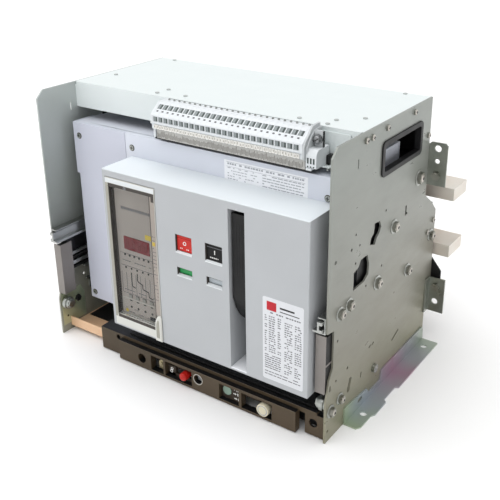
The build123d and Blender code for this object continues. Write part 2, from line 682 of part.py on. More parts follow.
# ---- breaker: front cover and buttons -----------------------------------------------------
BUTTON_Z = (249.0, 277.0)
OFF_X, ON_X = (20.0, 51.0), (76.0, 107.0)
WINDOW_Z = (210.0, 223.0)
HANDLE_SLOT = (118.5, 147.0, 81.0, 340.0)
CONTROLLER = (-118.0, -16.0, 80.0, 341.0)
BUTTON_GAP = 1.0


def front_cover():
    x0, x1 = COVER_X
    z0, z1 = COVER_Z
    cover = box(x0, x1, COVER_Y, FRONT_PLANE, z0, z1)
    cover -= box(x0 + SKIN, x1 - SKIN, COVER_Y + SKIN, FRONT_PLANE + 1, z0 + SKIN, z1 - SKIN)
    cover = fillet(cover.edges().group_by(Axis.Y)[0], 2.0)
    a, b, c, d = HANDLE_SLOT
    for x in (a - SKIN, b):
        wall = box(x, x + SKIN, COVER_Y + SKIN, 46, c - 1, d + 2)
        cover += wall - rod_x(x - 1, x + SKIN + 1, HANDLE_Y, HANDLE_Z, HANDLE_PIN_R + 2)
    front = (COVER_Y - 1, COVER_Y + SKIN + 1)
    cover -= box(a, b, *front, c, d)
    cover -= box(CONTROLLER[0], CONTROLLER[1], *front, CONTROLLER[2], CONTROLLER[3])
    for x in (OFF_X, ON_X):
        cover -= box(*x, *front, *BUTTON_Z)
        cover -= box(x[0] + 1, x[1] - 1, *front, *WINDOW_Z)
    return cover


def push_button(x):
    g = BUTTON_GAP
    cap = box(x[0] + g, x[1] - g, COVER_Y + 3, COVER_Y + 12, BUTTON_Z[0] + g, BUTTON_Z[1] - g)
    middle = (x[0] + x[1]) / 2
    return cap + rod_y(middle, COVER_Y + 12, 34, (BUTTON_Z[0] + BUTTON_Z[1]) / 2, 5)


add("front_cover", front_cover())
add("off_button", push_button(OFF_X))
add("on_button", push_button(ON_X))


# ---- breaker: trip controller -------------------------------------------------------------
BEZEL_GAP = 1.0
FACE = (-111.0, -23.0, 101.0, 326.0)
FACE_Y = (-6.0, -4.0)
KEY_X = [-88.0, -73.0, -58.0, -43.0, -29.0]
KEY_Z = 136.0
KEY_HALF = (3.6, 2.8)
LID_Y = (-13.5, -11.2)
LID = (-109.3, -24.5, 102.5, 324.5)
HINGE_R = 1.2


def controller_housing():
    x0, x1, z0, z1 = CONTROLLER
    g = BEZEL_GAP
    body = box(x0 + g, x1 - g, COVER_Y - 1, 48, z0 + g, z1 - g)
    body -= box(FACE[0] - 0.5, FACE[1] + 0.5, COVER_Y - 2, FACE_Y[1], FACE[2] - 0.5, FACE[3] + 0.5)
    body -= box(FACE[0] + 1.5, FACE[1] - 1.5, FACE_Y[1] - 1, 44, FACE[2] + 1.5, FACE[3] - 1.5)
    return body


def controller_face():
    face = box(FACE[0], FACE[1], *FACE_Y, FACE[2], FACE[3])
    for x in KEY_X:
        face -= box(x - KEY_HALF[0] - 0.3, x + KEY_HALF[0] + 0.3, FACE_Y[0] - 1, FACE_Y[1] + 1,
                    KEY_Z - KEY_HALF[1] - 0.3, KEY_Z + KEY_HALF[1] + 0.3)
    return face


def controller_cover():
    """Clear flip cover with a hinge barrel on its left edge and a grip lip at its lower right corner."""
    lid = box(LID[0], LID[1], *LID_Y, LID[2], LID[3]) + rod_z(LID[0], LID_Y[0], LID[2], LID[3], HINGE_R)
    lip = box(LID[1] - 4, LID[1] + 0.0, LID_Y[0] - 0.5, LID_Y[0], LID[2] + 4, LID[2] + 30)
    return lid + lip


def controller_key(x):
    return box(x - KEY_HALF[0], x + KEY_HALF[0], FACE_Y[0] - 1.3, FACE_Y[1] + 4,
               KEY_Z - KEY_HALF[1], KEY_Z + KEY_HALF[1])


add("controller_housing", controller_housing())
add("controller_face", controller_face())
add("controller_cover", controller_cover())
for number, key_x in enumerate(KEY_X, start=1):
    add(f"controller_key_{number}", controller_key(key_x))


# ---- write the parts ----------------------------------------------------------------------
os.makedirs("parts", exist_ok=True)
low, high = [1e9] * 3, [-1e9] * 3
for name, solids in parts.items():
    group = Pos(0, -CENTRE_Y, 0) * Compound([s for shape in solids for s in shape.solids()])
    export_step(group, f"parts/{name}.step")
    limits = group.bounding_box()
    low = [min(a, b) for a, b in zip(low, tuple(limits.min))]
    high = [max(a, b) for a, b in zip(high, tuple(limits.max))]
print("nodes", len(parts))
print("low ", [round(v, 2) for v in low])
print("high", [round(v, 2) for v in high])
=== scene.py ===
import math
import random

import bmesh
import bpy
from mathutils import Matrix, Vector


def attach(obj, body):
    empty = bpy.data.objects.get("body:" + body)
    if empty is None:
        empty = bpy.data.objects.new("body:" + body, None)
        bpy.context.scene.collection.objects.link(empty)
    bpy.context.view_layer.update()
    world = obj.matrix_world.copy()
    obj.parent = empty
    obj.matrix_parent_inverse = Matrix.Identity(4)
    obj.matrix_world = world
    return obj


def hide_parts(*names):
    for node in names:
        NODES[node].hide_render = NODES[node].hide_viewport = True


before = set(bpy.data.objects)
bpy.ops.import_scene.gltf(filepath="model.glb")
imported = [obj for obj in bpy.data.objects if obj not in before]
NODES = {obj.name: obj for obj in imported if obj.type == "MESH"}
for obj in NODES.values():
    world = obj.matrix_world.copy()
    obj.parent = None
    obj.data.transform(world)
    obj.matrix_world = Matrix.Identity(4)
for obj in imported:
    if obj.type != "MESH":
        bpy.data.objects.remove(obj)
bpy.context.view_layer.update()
CENTRE_Y = 206.0          # mm from the side plates' front edge to the frame's origin
random.seed(7)


def v(x, y, z):
    """Millimetres from the side plates' front edge -> metres in the shared frame."""
    return Vector((x / 1000, (y - CENTRE_Y) / 1000, z / 1000))


def linear(hex_colour):
    """A display colour such as 'C4C7C9' as linear RGBA."""
    out = []
    for i in (0, 2, 4):
        c = int(hex_colour[i:i + 2], 16) / 255
        out.append(c / 12.92 if c <= 0.04045 else ((c + 0.055) / 1.055) ** 2.4)
    return (*out, 1.0)


# ---- materials ----------------------------------------------------------------------------
class Graph:
    """A small helper around one material's node tree."""

    def __init__(self, name):
        self.mat = bpy.data.materials.new(name)
        self.mat.use_nodes = True
        self.nodes = self.mat.node_tree.nodes
        self.links = self.mat.node_tree.links
        self.bsdf = self.nodes["Principled BSDF"]
        self.coords = self.nodes.new("ShaderNodeTexCoord").outputs["Object"]

    def add(self, kind, **inputs):
        node = self.nodes.new("ShaderNode" + kind)
        for key, value in inputs.items():
            if isinstance(value, bpy.types.NodeSocket):
                self.links.new(value, node.inputs[key])
            else:
                node.inputs[key].default_value = value
        return node

    def link(self, output, socket):
        self.links.new(output, socket)

    def scaled(self, scale):
        node = self.add("Mapping", Vector=self.coords)
        node.inputs["Scale"].default_value = scale
        return node.outputs["Vector"]

    def noise(self, scale, detail=3.0, stretch=(1, 1, 1), rough=0.5):
        return self.add("TexNoise", Vector=self.scaled(stretch), Scale=scale, Detail=detail,
                        Roughness=rough).outputs["Fac"]

    def ramp(self, factor, stops):
        node = self.nodes.new("ShaderNodeValToRGB")
        self.link(factor, node.inputs["Fac"])
        elements = node.color_ramp.elements
        while len(elements) < len(stops):
            elements.new(0.5)
        for element, (place, colour) in zip(elements, stops):
            element.position = place
            element.color = colour
        return node.outputs["Color"]

    def along(self, axis, low, high, wander=0.12):
        """0 to 1 from low to high (metres) along an axis, blurred by a little noise."""
        split = self.add("SeparateXYZ", Vector=self.coords)
        node = self.add("MapRange", Value=split.outputs[axis])
        node.inputs["From Min"].default_value = low
        node.inputs["From Max"].default_value = high
        node.inputs["To Min"].default_value = -wander / 2
        node.inputs["To Max"].default_value = 1 - wander / 2
        cloud = self.add("Math", Value=self.noise(7.0, 3.0))
        cloud.operation = "MULTIPLY"
        cloud.inputs[1].default_value = wander
        total = self.nodes.new("ShaderNodeMath")
        self.link(node.outputs["Result"], total.inputs[0])
        self.link(cloud.outputs[0], total.inputs[1])
        return total.outputs[0]

    def painted_top_shading(self, side, painted_top_colour):
        """Painted light and shade: mixes a side colour with a colour for faces that look up, by how far the
        surface faces up.
        """
        normal = self.nodes.new("ShaderNodeTexCoord").outputs["Normal"]
        facing = self.add("SeparateXYZ", Vector=normal)
        amount = self.add("MapRange", Value=facing.outputs["Z"])
        amount.inputs["From Min"].default_value = 0.25
        amount.inputs["From Max"].default_value = 0.8
        mix = self.nodes.new("ShaderNodeMix")
        mix.data_type = "RGBA"
        self.link(amount.outputs["Result"], mix.inputs["Factor"])
        for value, socket in ((side, mix.inputs[6]), (painted_top_colour, mix.inputs[7])):
            if isinstance(value, tuple):
                socket.default_value = value
            else:
                self.link(value, socket)
        return mix.outputs[2]

    def remap(self, factor, low, high):
        """Spreads a noise value, which lies mostly between 0.3 and 0.7, over low to high."""
        node = self.add("MapRange", Value=factor)
        node.inputs["From Min"].default_value = 0.3
        node.inputs["From Max"].default_value = 0.7
        node.inputs["To Min"].default_value = low
        node.inputs["To Max"].default_value = high
        return node.outputs["Result"]

    def bump(self, height, strength, distance):
        """Adds a bump on top of those already there."""
        node = self.add("Bump", Height=height)
        node.inputs["Strength"].default_value = strength
        node.inputs["Distance"].default_value = distance
        previous = self.bsdf.inputs["Normal"]
        if previous.is_linked:
            self.link(previous.links[0].from_socket, node.inputs["Normal"])
        self.link(node.outputs["Normal"], self.bsdf.inputs["Normal"])


def shade(colour, k):
    """A linear colour made k times as bright."""
    return tuple(min(1.0, c * k) for c in colour[:3]) + (1.0,)


def plastic(name, hex_colour, rough=0.45, vary=0.05, grain=0.25, tint=None, painted_top_colour=None):
    """Moulded plastic: slight mottling, a fine eroded-mould grain and uneven sheen; painted_top_colour, when
    given, paints light and shade onto faces that look up.
    """
    g = Graph(name)
    base = linear(hex_colour)
    other = linear(tint) if tint else shade(base, 1 - vary)
    colour = g.ramp(g.noise(9.0, 3.0), [(0.3, other), (0.7, shade(base, 1 + vary * 0.5))])
    if painted_top_colour:
        colour = g.painted_top_shading(colour, linear(painted_top_colour))
    g.link(colour, g.bsdf.inputs["Base Color"])
    g.link(g.remap(g.noise(45.0, 4.0), rough - 0.06, rough + 0.06), g.bsdf.inputs["Roughness"])
    g.bsdf.inputs["Specular IOR Level"].default_value = 0.3
    g.bump(g.noise(1700.0, 2.0), grain, 0.00006)
    g.bump(g.noise(24.0, 2.0), 0.12, 0.0004)
    return g.mat


def paint(name, hex_colour, rough=0.38, vary=0.04, metallic=0.0, peel=0.2, tint=None, painted_top_colour=None):
    """Powder paint on sheet metal: orange peel, faint mottling and handling marks; painted_top_colour, when
    given, paints light and shade onto faces that look up.
    """
    g = Graph(name)
    base = linear(hex_colour)
    other = linear(tint) if tint else shade(base, 1 - vary)
    colour = g.ramp(g.noise(6.0, 5.0), [(0.32, other), (0.68, base)])
    if painted_top_colour:
        colour = g.painted_top_shading(colour, linear(painted_top_colour))
    g.link(colour, g.bsdf.inputs["Base Color"])
    marks = g.noise(14.0, 6.0, (1, 1.0, 3.0), 0.65)
    g.link(g.remap(marks, rough - 0.08, rough + 0.1), g.bsdf.inputs["Roughness"])
    g.bsdf.inputs["Metallic"].default_value = metallic
    g.bsdf.inputs["Specular IOR Level"].default_value = 0.35
    g.bump(g.noise(520.0, 2.0), peel, 0.0001)
    g.bump(g.noise(7.0, 2.0), 0.1, 0.0012)
    return g.mat


def sheet(name, axis, low, high, stops, rough=0.4, metallic=0.3, wander=0.25):
    """Plated sheet whose tone drifts along one axis, with faint rolling streaks; on the side plates the drift
    is painted light and shade.
    """
    g = Graph(name)
    tones = g.ramp(g.along(axis, low, high, wander), [(at, linear(c)) for at, c in stops])
    streak_noise = g.noise(18.0, 4.0, (1, 0.6, 0.6), 0.5)
    streaks = g.ramp(streak_noise, [(0.35, (0.96, 0.96, 0.96, 1)), (0.65, (1, 1, 1, 1))])
    mix = g.nodes.new("ShaderNodeMix")
    mix.data_type = "RGBA"
    mix.blend_type = "MULTIPLY"
    mix.inputs["Factor"].default_value = 1.0
    g.link(tones, mix.inputs[6])
    g.link(streaks, mix.inputs[7])
    g.link(mix.outputs[2], g.bsdf.inputs["Base Color"])
    g.bsdf.inputs["Metallic"].default_value = metallic
    g.bsdf.inputs["Specular IOR Level"].default_value = 0.4
    marks = g.noise(14.0, 6.0, (1, 1, 3), 0.65)
    g.link(g.remap(marks, rough - 0.08, rough + 0.1), g.bsdf.inputs["Roughness"])
    g.bump(g.noise(900.0, 3.0), 0.08, 0.00006)
    return g.mat


def metal(name, hex_colour, rough=0.34, stretch=(1, 1, 1), vary=0.14, fine=900.0, tint=None, bump=0.12,
          metallic=1.0):
    """Bare or plated metal with rolling marks along the stretch direction."""
    g = Graph(name)
    base = linear(hex_colour)
    other = linear(tint) if tint else shade(base, 1 - vary)
    g.link(g.ramp(g.noise(28.0, 6.0, stretch, 0.6), [(0.3, other), (0.7, base)]), g.bsdf.inputs["Base Color"])
    g.bsdf.inputs["Metallic"].default_value = metallic
    g.link(g.remap(g.noise(60.0, 5.0, stretch, 0.6), rough - 0.1, rough + 0.12), g.bsdf.inputs["Roughness"])
    g.bump(g.noise(fine, 3.0, stretch), bump, 0.00008)
    return g.mat


def clear(name):
    """Thin clear moulding with a faint waviness."""
    g = Graph(name)
    g.bsdf.inputs["Base Color"].default_value = (0.95, 0.97, 0.98, 1)
    g.bsdf.inputs["Transmission Weight"].default_value = 1.0
    g.bsdf.inputs["IOR"].default_value = 1.12
    g.link(g.remap(g.noise(30.0, 4.0), 0.0, 0.03), g.bsdf.inputs["Roughness"])
    g.bump(g.noise(20.0, 2.0), 0.02, 0.0002)
    return g.mat


M = {
    # painted light and shade: the side plates' tones follow the light along their height; the left plate is
    # darkest about a third of the way up and palest at its upper edge, and the right plate turns warmer and a
    # little darker towards the bottom, a painted shade and reflection
    "plate_left": sheet("plate_left", "Z", 0.05, 0.42, [(0.0, "97978A"), (0.35, "6E706C"), (0.6, "9DA29D"),
                                                       (1.0, "BAC0BE")], 0.42, 0.3),
    "plate_right": sheet("plate_right", "Z", 0.02, 0.42, [(0.0, "8E8B76"), (0.3, "8F8D82"), (0.6, "90918A"),
                                                         (1.0, "929691")], 0.34, 0.35),
    # painted light and shade: the cover and both housings are a little darker on faces that look up, which
    # holds back the strong light from above, and the front cover is lighter there, with the light from above
    # painted in
    "cover": paint("cover_white", "E1E8E8", 0.4, 0.02, tint="DBE2E2", painted_top_colour="DBE2E2"),
    "lilac": plastic("housing_lilac", "CBCEDB", 0.46, 0.03, painted_top_colour="C6CAD6"),
    "body": plastic("housing_pale", "D9DDE7", 0.46, 0.03, painted_top_colour="D2D6E0"),
    "front": plastic("front_grey", "B4B7BA", 0.48, 0.03, painted_top_colour="DCE2E6"),
    "bezel": plastic("bezel_ivory", "D8D8D2", 0.4, 0.04),
    "face": plastic("face_beige", "A39A92", 0.5, 0.06),
    # black plastic, also used for the sheets of painted shade behind openings and in hollows
    "black": plastic("black_plastic_and_painted_shade", "1A1A1B", 0.42, 0.2, 0.4),
    "base": plastic("base_black", "161616", 0.55, 0.25, 0.5),
    "handle": plastic("handle_black", "131314", 0.5, 0.2, 0.4),
    "red": plastic("button_red", "C3261C", 0.42, 0.08, 0.1),
    "on_black": plastic("on_black", "0C0C0D", 0.6, 0.15, 0.1),
    "knob_red": plastic("knob_red", "B3201A", 0.25, 0.1, 0.1),
    "cream": plastic("knob_cream", "D9D2B8", 0.3, 0.05, 0.1),
    "dial": plastic("dial_green", "8FA898", 0.3, 0.25, 0.1),
    "green": plastic("flag_green", "2F9A55", 0.4, 0.08, 0.1),
    "white": plastic("flag_white", "E8E8E4", 0.4, 0.04, 0.1),
    "block": plastic("block_white", "DDE1E4", 0.4, 0.03, 0.15),
    "block_grey": plastic("block_grey", "8E9596", 0.5, 0.08, 0.2),
    "end_grey": plastic("end_grey", "C3C7C9", 0.42, 0.05, 0.2),
    "plug": plastic("plug_grey", "4A4C50", 0.5, 0.1, 0.3),
    "chute": plastic("chute_board", "8D7A5E", 0.7, 0.15, 0.5),
    "coil": plastic("coil_black", "26262A", 0.5, 0.2, 0.4),
    "board": plastic("shutter_board", "8B8677", 0.6, 0.1, 0.4),
    "key": plastic("key_grey", "8F8C86", 0.5, 0.08, 0.2),
    "insert": plastic("insert_dark", "3A3128", 0.5, 0.25, 0.3),
    # painted shade and reflection: the beam is painted near black on faces that look up, where its glossy
    # paint reflects the dark, and its brown front is the dark paint with a warm reflection painted in
    "beam": paint("beam_brown", "524534", 0.42, 0.12, 0.15, 0.3, tint="463B2C", painted_top_colour="161617"),
    "post": paint("post_bronze", "8F8A86", 0.38, 0.1, 0.5, tint="7B7672"),
    "zinc": metal("zinc", "B9BCB8", 0.32, (1, 1, 1), 0.16, tint="989A94"),
    "bolt": metal("bolt_zinc", "B4B4AC", 0.3, (1, 1, 1), 0.2, tint="8B8A82"),
    # painted reflection: the floor pan's peach tone is a warm reflection painted onto its zinc
    "pan": metal("pan_zinc", "EBC7A4", 0.5, (1, 3, 1), 0.06, tint="E2B992", metallic=0.1),
    "rail": metal("rail_zinc", "BDBFBC", 0.34, (1, 0.15, 1), 0.18),
    "foot": sheet("foot_passivated", "Y", -0.21, 0.2, [(0.0, "BABE9C"), (0.16, "A8B7A0"), (0.28, "A9B2B8"),
                                                      (0.44, "A9A6AE"), (0.55, "B093A4"), (0.66, "A7A9AE"),
                                                      (0.82, "AAB5A8"), (1.0, "AFB2AA")], 0.34, 0.55, 0.4),
    "ear": metal("ear_zinc", "A9ACA5", 0.34, (1, 1, 1), 0.2, tint="8D9188"),
    "tin": metal("terminal_tin", "E2DDD4", 0.4, (0.4, 0.4, 0.4), 0.1, tint="D9CBBC", metallic=0.4),
    "copper": metal("contact_copper", "C98A6B", 0.36, (1, 0.2, 1), 0.15),
    "silver": metal("finger_silver", "C9C4BC", 0.36, (1, 0.2, 1), 0.12),
    "steel": metal("shaft_steel", "8E9092", 0.35, (0.15, 1, 1), 0.15),
    "spring": metal("spring_steel", "4A4A4C", 0.4, (1, 1, 0.2), 0.15),
    "brass": metal("nut_brass", "B59A5B", 0.36, (1, 1, 1), 0.12),
    "clear": clear("clear_cover"),
    # painted shade: dark colour for shaded recess walls, the gaps round the buttons and the screw wells
    "recess_shade": plastic("recess_painted_shade", "4A4541", 0.6, 0.15, 0.2),
    "lens": plastic("display_lens", "75292B", 0.3, 0.1, 0.05),
    "digit": plastic("display_digit", "5B2325", 0.3, 0.1, 0.05),
    # dark print, and also painted shade in screw slots and sockets and along the clear lid's edge
    "ink_and_shade": plastic("dark_ink_and_shade", "2B2A2A", 0.5, 0.15, 0.1),
    "print_grey": plastic("grey_print", "6C6C70", 0.55, 0.15, 0.1),
    "print_faint": plastic("faint_print", "A7AAB1", 0.5, 0.08, 0.1),
    "pale_ink": plastic("pale_ink", "B9B5AC", 0.45, 0.1, 0.1),
    "white_ink": plastic("white_ink", "EDEDEA", 0.45, 0.04, 0.1),
    "yellow": plastic("yellow_tag", "C9B04A", 0.45, 0.08, 0.1),
    "flag_pale": plastic("flag_pale", "B9C1C6", 0.45, 0.08, 0.1),
    # painted highlight: pale colour for ledges that catch the light from above
    "highlight_lip": plastic("painted_highlight_lip", "DDE1E3", 0.35, 0.03, 0.1),
    "label": plastic("label_film", "DADCE0", 0.4, 0.03, 0.1),
    "label_pale": plastic("label_pale", "F2F4F8", 0.4, 0.02, 0.1),
    "mark_red": plastic("mark_red", "B8202C", 0.35, 0.08, 0.1),
    # painted shade inside the terminal entries and socket holes
    "entry_shade": plastic("entry_shadow", "4E5655", 0.6, 0.15, 0.1),
    "marker": plastic("marker_beige", "F0EEE9", 0.45, 0.03, 0.15),
    "comb": plastic("comb_grey", "B9B8B4", 0.55, 0.12, 0.2),
    "comb_dark": plastic("comb_dark", "8A8782", 0.6, 0.15, 0.2),
    "bezel_shade": plastic("bezel_shade", "A3A196", 0.5, 0.08, 0.15),
    # painted highlight: light line where the beam's edges catch the light
    "painted_edge_highlight": paint("painted_edge_highlight", "7D7365", 0.35, 0.25, 0.4),
    "screw_pale": metal("screw_pale", "C3C7C5", 0.4, (1, 1, 1), 0.12, metallic=0.6),
    "brass_pale": metal("tab_brass", "B8AC8C", 0.36, (1, 1, 1), 0.2),
}

LOOKS = {
    "cradle_left_plate": "plate_left", "cradle_right_plate": "plate_right", "cradle_bolts": "bolt",
    "lifting_frames": "black", "cradle_top_cover": "cover", "cover_screws": "screw_pale",
    "cradle_bottom_pan": "pan", "foot_angles": "foot", "mounting_ears": "ear", "rear_base": "base",
    "line_terminals": "tin", "load_terminals": "tin", "guide_channels": "rail", "sliding_rails": "rail",
    "front_posts": "post", "stop_rollers": "zinc", "racking_beam": "beam", "beam_inserts": "insert",
    "racking_spindle": "steel", "drive_nut": "brass", "racking_shaft": "zinc", "position_dial": "dial",
    "lock_release_button": "knob_red", "position_lock_button": "cream", "upper_shutter": "board",
    "lower_shutter": "board", "terminal_block": "block", "terminal_screws": "zinc",
    "terminal_end_parts": "end_grey", "terminal_bracket": "cover", "breaker_housing": "body",
    "neutral_pole_cover": "lilac", "breaker_screws": "zinc", "support_rollers": "zinc",
    "secondary_plugs": "plug", "finger_clusters": "silver", "upper_contacts": "copper",
    "lower_contacts": "copper", "flexible_links": "copper", "arc_chutes": "chute", "main_shaft": "steel",
    "moving_contacts": "copper", "mechanism_frames": "zinc", "charging_shaft": "steel",
    "closing_springs": "spring", "release_coils": "coil", "contact_flag": "green", "charge_flag": "white",
    "charging_handle": "handle", "front_cover": "front", "off_button": "red", "on_button": "on_black",
    "controller_housing": "bezel", "controller_face": "face", "controller_cover": "clear",
}
for i in range(1, 6):
    LOOKS[f"controller_key_{i}"] = "key"

BEVEL_ANGLE = math.radians(38)      # edges sharper than this are rounded
PLAIN_EDGE = 0.25                   # mm
# edge rounding in mm for the CAD nodes that are seen best; the rest keep PLAIN_EDGE
EDGE = {
    "cradle_left_plate": 0.5, "cradle_right_plate": 0.5, "cradle_top_cover": 0.6, "foot_angles": 0.5,
    "mounting_ears": 0.5, "rear_base": 0.8, "line_terminals": 0.9, "load_terminals": 0.9,
    "racking_beam": 0.8, "breaker_housing": 0.8, "neutral_pole_cover": 1.0, "front_cover": 0.8,
    "controller_housing": 0.8, "charging_handle": 1.5, "lifting_frames": 0.8, "terminal_end_parts": 0.6,
    "cradle_bolts": 0.4, "off_button": 0.8, "on_button": 0.8,
}


def soften(obj, width_mm, segments=2):
    """Rounds the sharp edges so that they catch the light."""
    weld = obj.modifiers.new("weld", "WELD")
    weld.merge_threshold = 0.00001
    flat = obj.modifiers.new("flat", "DECIMATE")
    flat.decimate_type = "DISSOLVE"
    flat.angle_limit = math.radians(1)
    bevel = obj.modifiers.new("edges", "BEVEL")
    bevel.width = width_mm / 1000
    bevel.segments = segments
    bevel.limit_method = "ANGLE"
    bevel.angle_limit = BEVEL_ANGLE
    obj.data.shade_smooth()
    level = obj.modifiers.new("level", "WEIGHTED_NORMAL")
    level.weight = 100
    level.keep_sharp = False


for node, look in LOOKS.items():
    obj = NODES[node]
    obj.data.materials.clear()
    obj.data.materials.append(M[look])
    for polygon in obj.data.polygons:
        polygon.material_index = 0
    soften(obj, EDGE.get(node, PLAIN_EDGE))


# ---- detail pieces ------------------------------------------------------------------------
# front surfaces that the details sit on, in mm of the working frame
FACE_Y = -6.0             # controller face inside its recess
BEZEL_Y = -15.0           # controller's bezel
COVER_Y = -14.0           # front cover
BUTTON_Y = -11.0          # OFF and ON buttons
BODY_Y = 56.0             # breaker's housing beside and above the front cover
BEAM_Y = -4.0             # racking beam
LEFT_INNER_X = -272.0     # inside of the left side plate
DRUM_Y, DRUM_Z = 8.0, 216.5         # axis of the indicator drums
DRUM_RADIUS = 16.8
PRINT_RELIEF = 0.35       # how far a printed mark stands out of its surface


class Piece:
    """One mesh object built from small solids in millimetres of the working frame."""

    def __init__(self, name):
        self.name = name
        self.bm = bmesh.new()

    def skin(self, rings, cap=True):
        """Joins rings of equal length with faces, and closes both ends."""
        made = [[self.bm.verts.new(v(*p)) for p in ring] for ring in rings]
        for a, b in zip(made, made[1:]):
            for i in range(len(a)):
                j = (i + 1) % len(a)
                self.bm.faces.new((a[i], a[j], b[j], b[i]))
        if cap:
            self.bm.faces.new(made[0][::-1])
            self.bm.faces.new(made[-1])
        return self

    def box(self, x0, x1, y0, y1, z0, z1):
        return self.skin([[(x, y0, z0), (x, y1, z0), (x, y1, z1), (x, y0, z1)] for x in (x0, x1)])

    def prism_x(self, outline, x0, x1):
        return self.skin([[(x, y, z) for y, z in outline] for x in (x0, x1)])

    def prism_y(self, outline, y0, y1):
        return self.skin([[(x, y, z) for x, z in outline] for y in (y0, y1)])

    def prism_z(self, outline, z0, z1):
        return self.skin([[(x, y, z) for x, y in outline] for z in (z0, z1)])

    def turned(self, centre, axis, profile, count=24):
        """Solid of revolution: profile holds (distance along the axis, radius) pairs."""
        rings = []
        for along, radius in profile:
            ring = []
            for i in range(count):
                a = 2 * math.pi * i / count
                p = [radius * math.cos(a), radius * math.sin(a)]
                p.insert("xyz".index(axis), along)
                ring.append(tuple(c + d for c, d in zip(centre, p)))
            rings.append(ring)
        return self.skin(rings)

    def line(self, points, width, y0, y1):
        """A flat stroke in a plane across Y through (x, z) points, with mitred joints."""
        left, right = [], []
        for i, (x, z) in enumerate(points):
            a = points[max(i - 1, 0)]
            b = points[min(i + 1, len(points) - 1)]
            run = Vector((b[0] - a[0], b[1] - a[1])).normalized()
            left.append((x - run.y * width / 2, z + run.x * width / 2))
            right.append((x + run.y * width / 2, z - run.x * width / 2))
        for i in range(len(points) - 1):
            self.prism_y([left[i], left[i + 1], right[i + 1], right[i]], y0, y1)
        return self

    def ring_y(self, x, z, inner, outer, y0, y1, count=28):
        """A flat ring across Y."""
        rings = [[], [], [], []]
        for i in range(count):
            a = 2 * math.pi * i / count
            c, s = math.cos(a), math.sin(a)
            for ring, radius, y in zip(rings, (inner, outer, outer, inner), (y0, y0, y1, y1)):
                ring.append((x + radius * c, y, z + radius * s))
        return self.skin(rings + [rings[0]], cap=False)

    def place(self, look, body, slot, width=0.15, replaces=()):
        bmesh.ops.remove_doubles(self.bm, verts=self.bm.verts, dist=0.000001)
        bmesh.ops.recalc_face_normals(self.bm, faces=self.bm.faces)
        mesh = bpy.data.meshes.new(self.name)
        self.bm.to_mesh(mesh)
        self.bm.free()
        obj = bpy.data.objects.new(self.name, mesh)
        bpy.context.scene.collection.objects.link(obj)
        mesh.materials.append(M[look])
        if width:
            bevel = obj.modifiers.new("edges", "BEVEL")
            bevel.width = width / 1000
            bevel.segments = 2
            bevel.limit_method = "ANGLE"
            bevel.angle_limit = BEVEL_ANGLE
            bevel.harden_normals = True
            mesh.shade_smooth()
        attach(obj, body)
        if replaces:
            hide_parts(*replaces)
        return obj


def rows_of_print(piece, x0, x1, z0, z1, pitch, height, y0, y1, lengths=(2.0, 6.5), fill=0.8):
    """Rows of short strokes that stand for small print too fine to read."""
    z = z1 - height
    while z > z0:
        x = x0
        while x < x1 - lengths[0]:
            run = min(random.uniform(*lengths), x1 - x)
            if random.random() < fill:
                piece.box(x, x + run, y0, y1, z, z + height)
            x += run + random.uniform(0.9, 1.6)
        z -= pitch


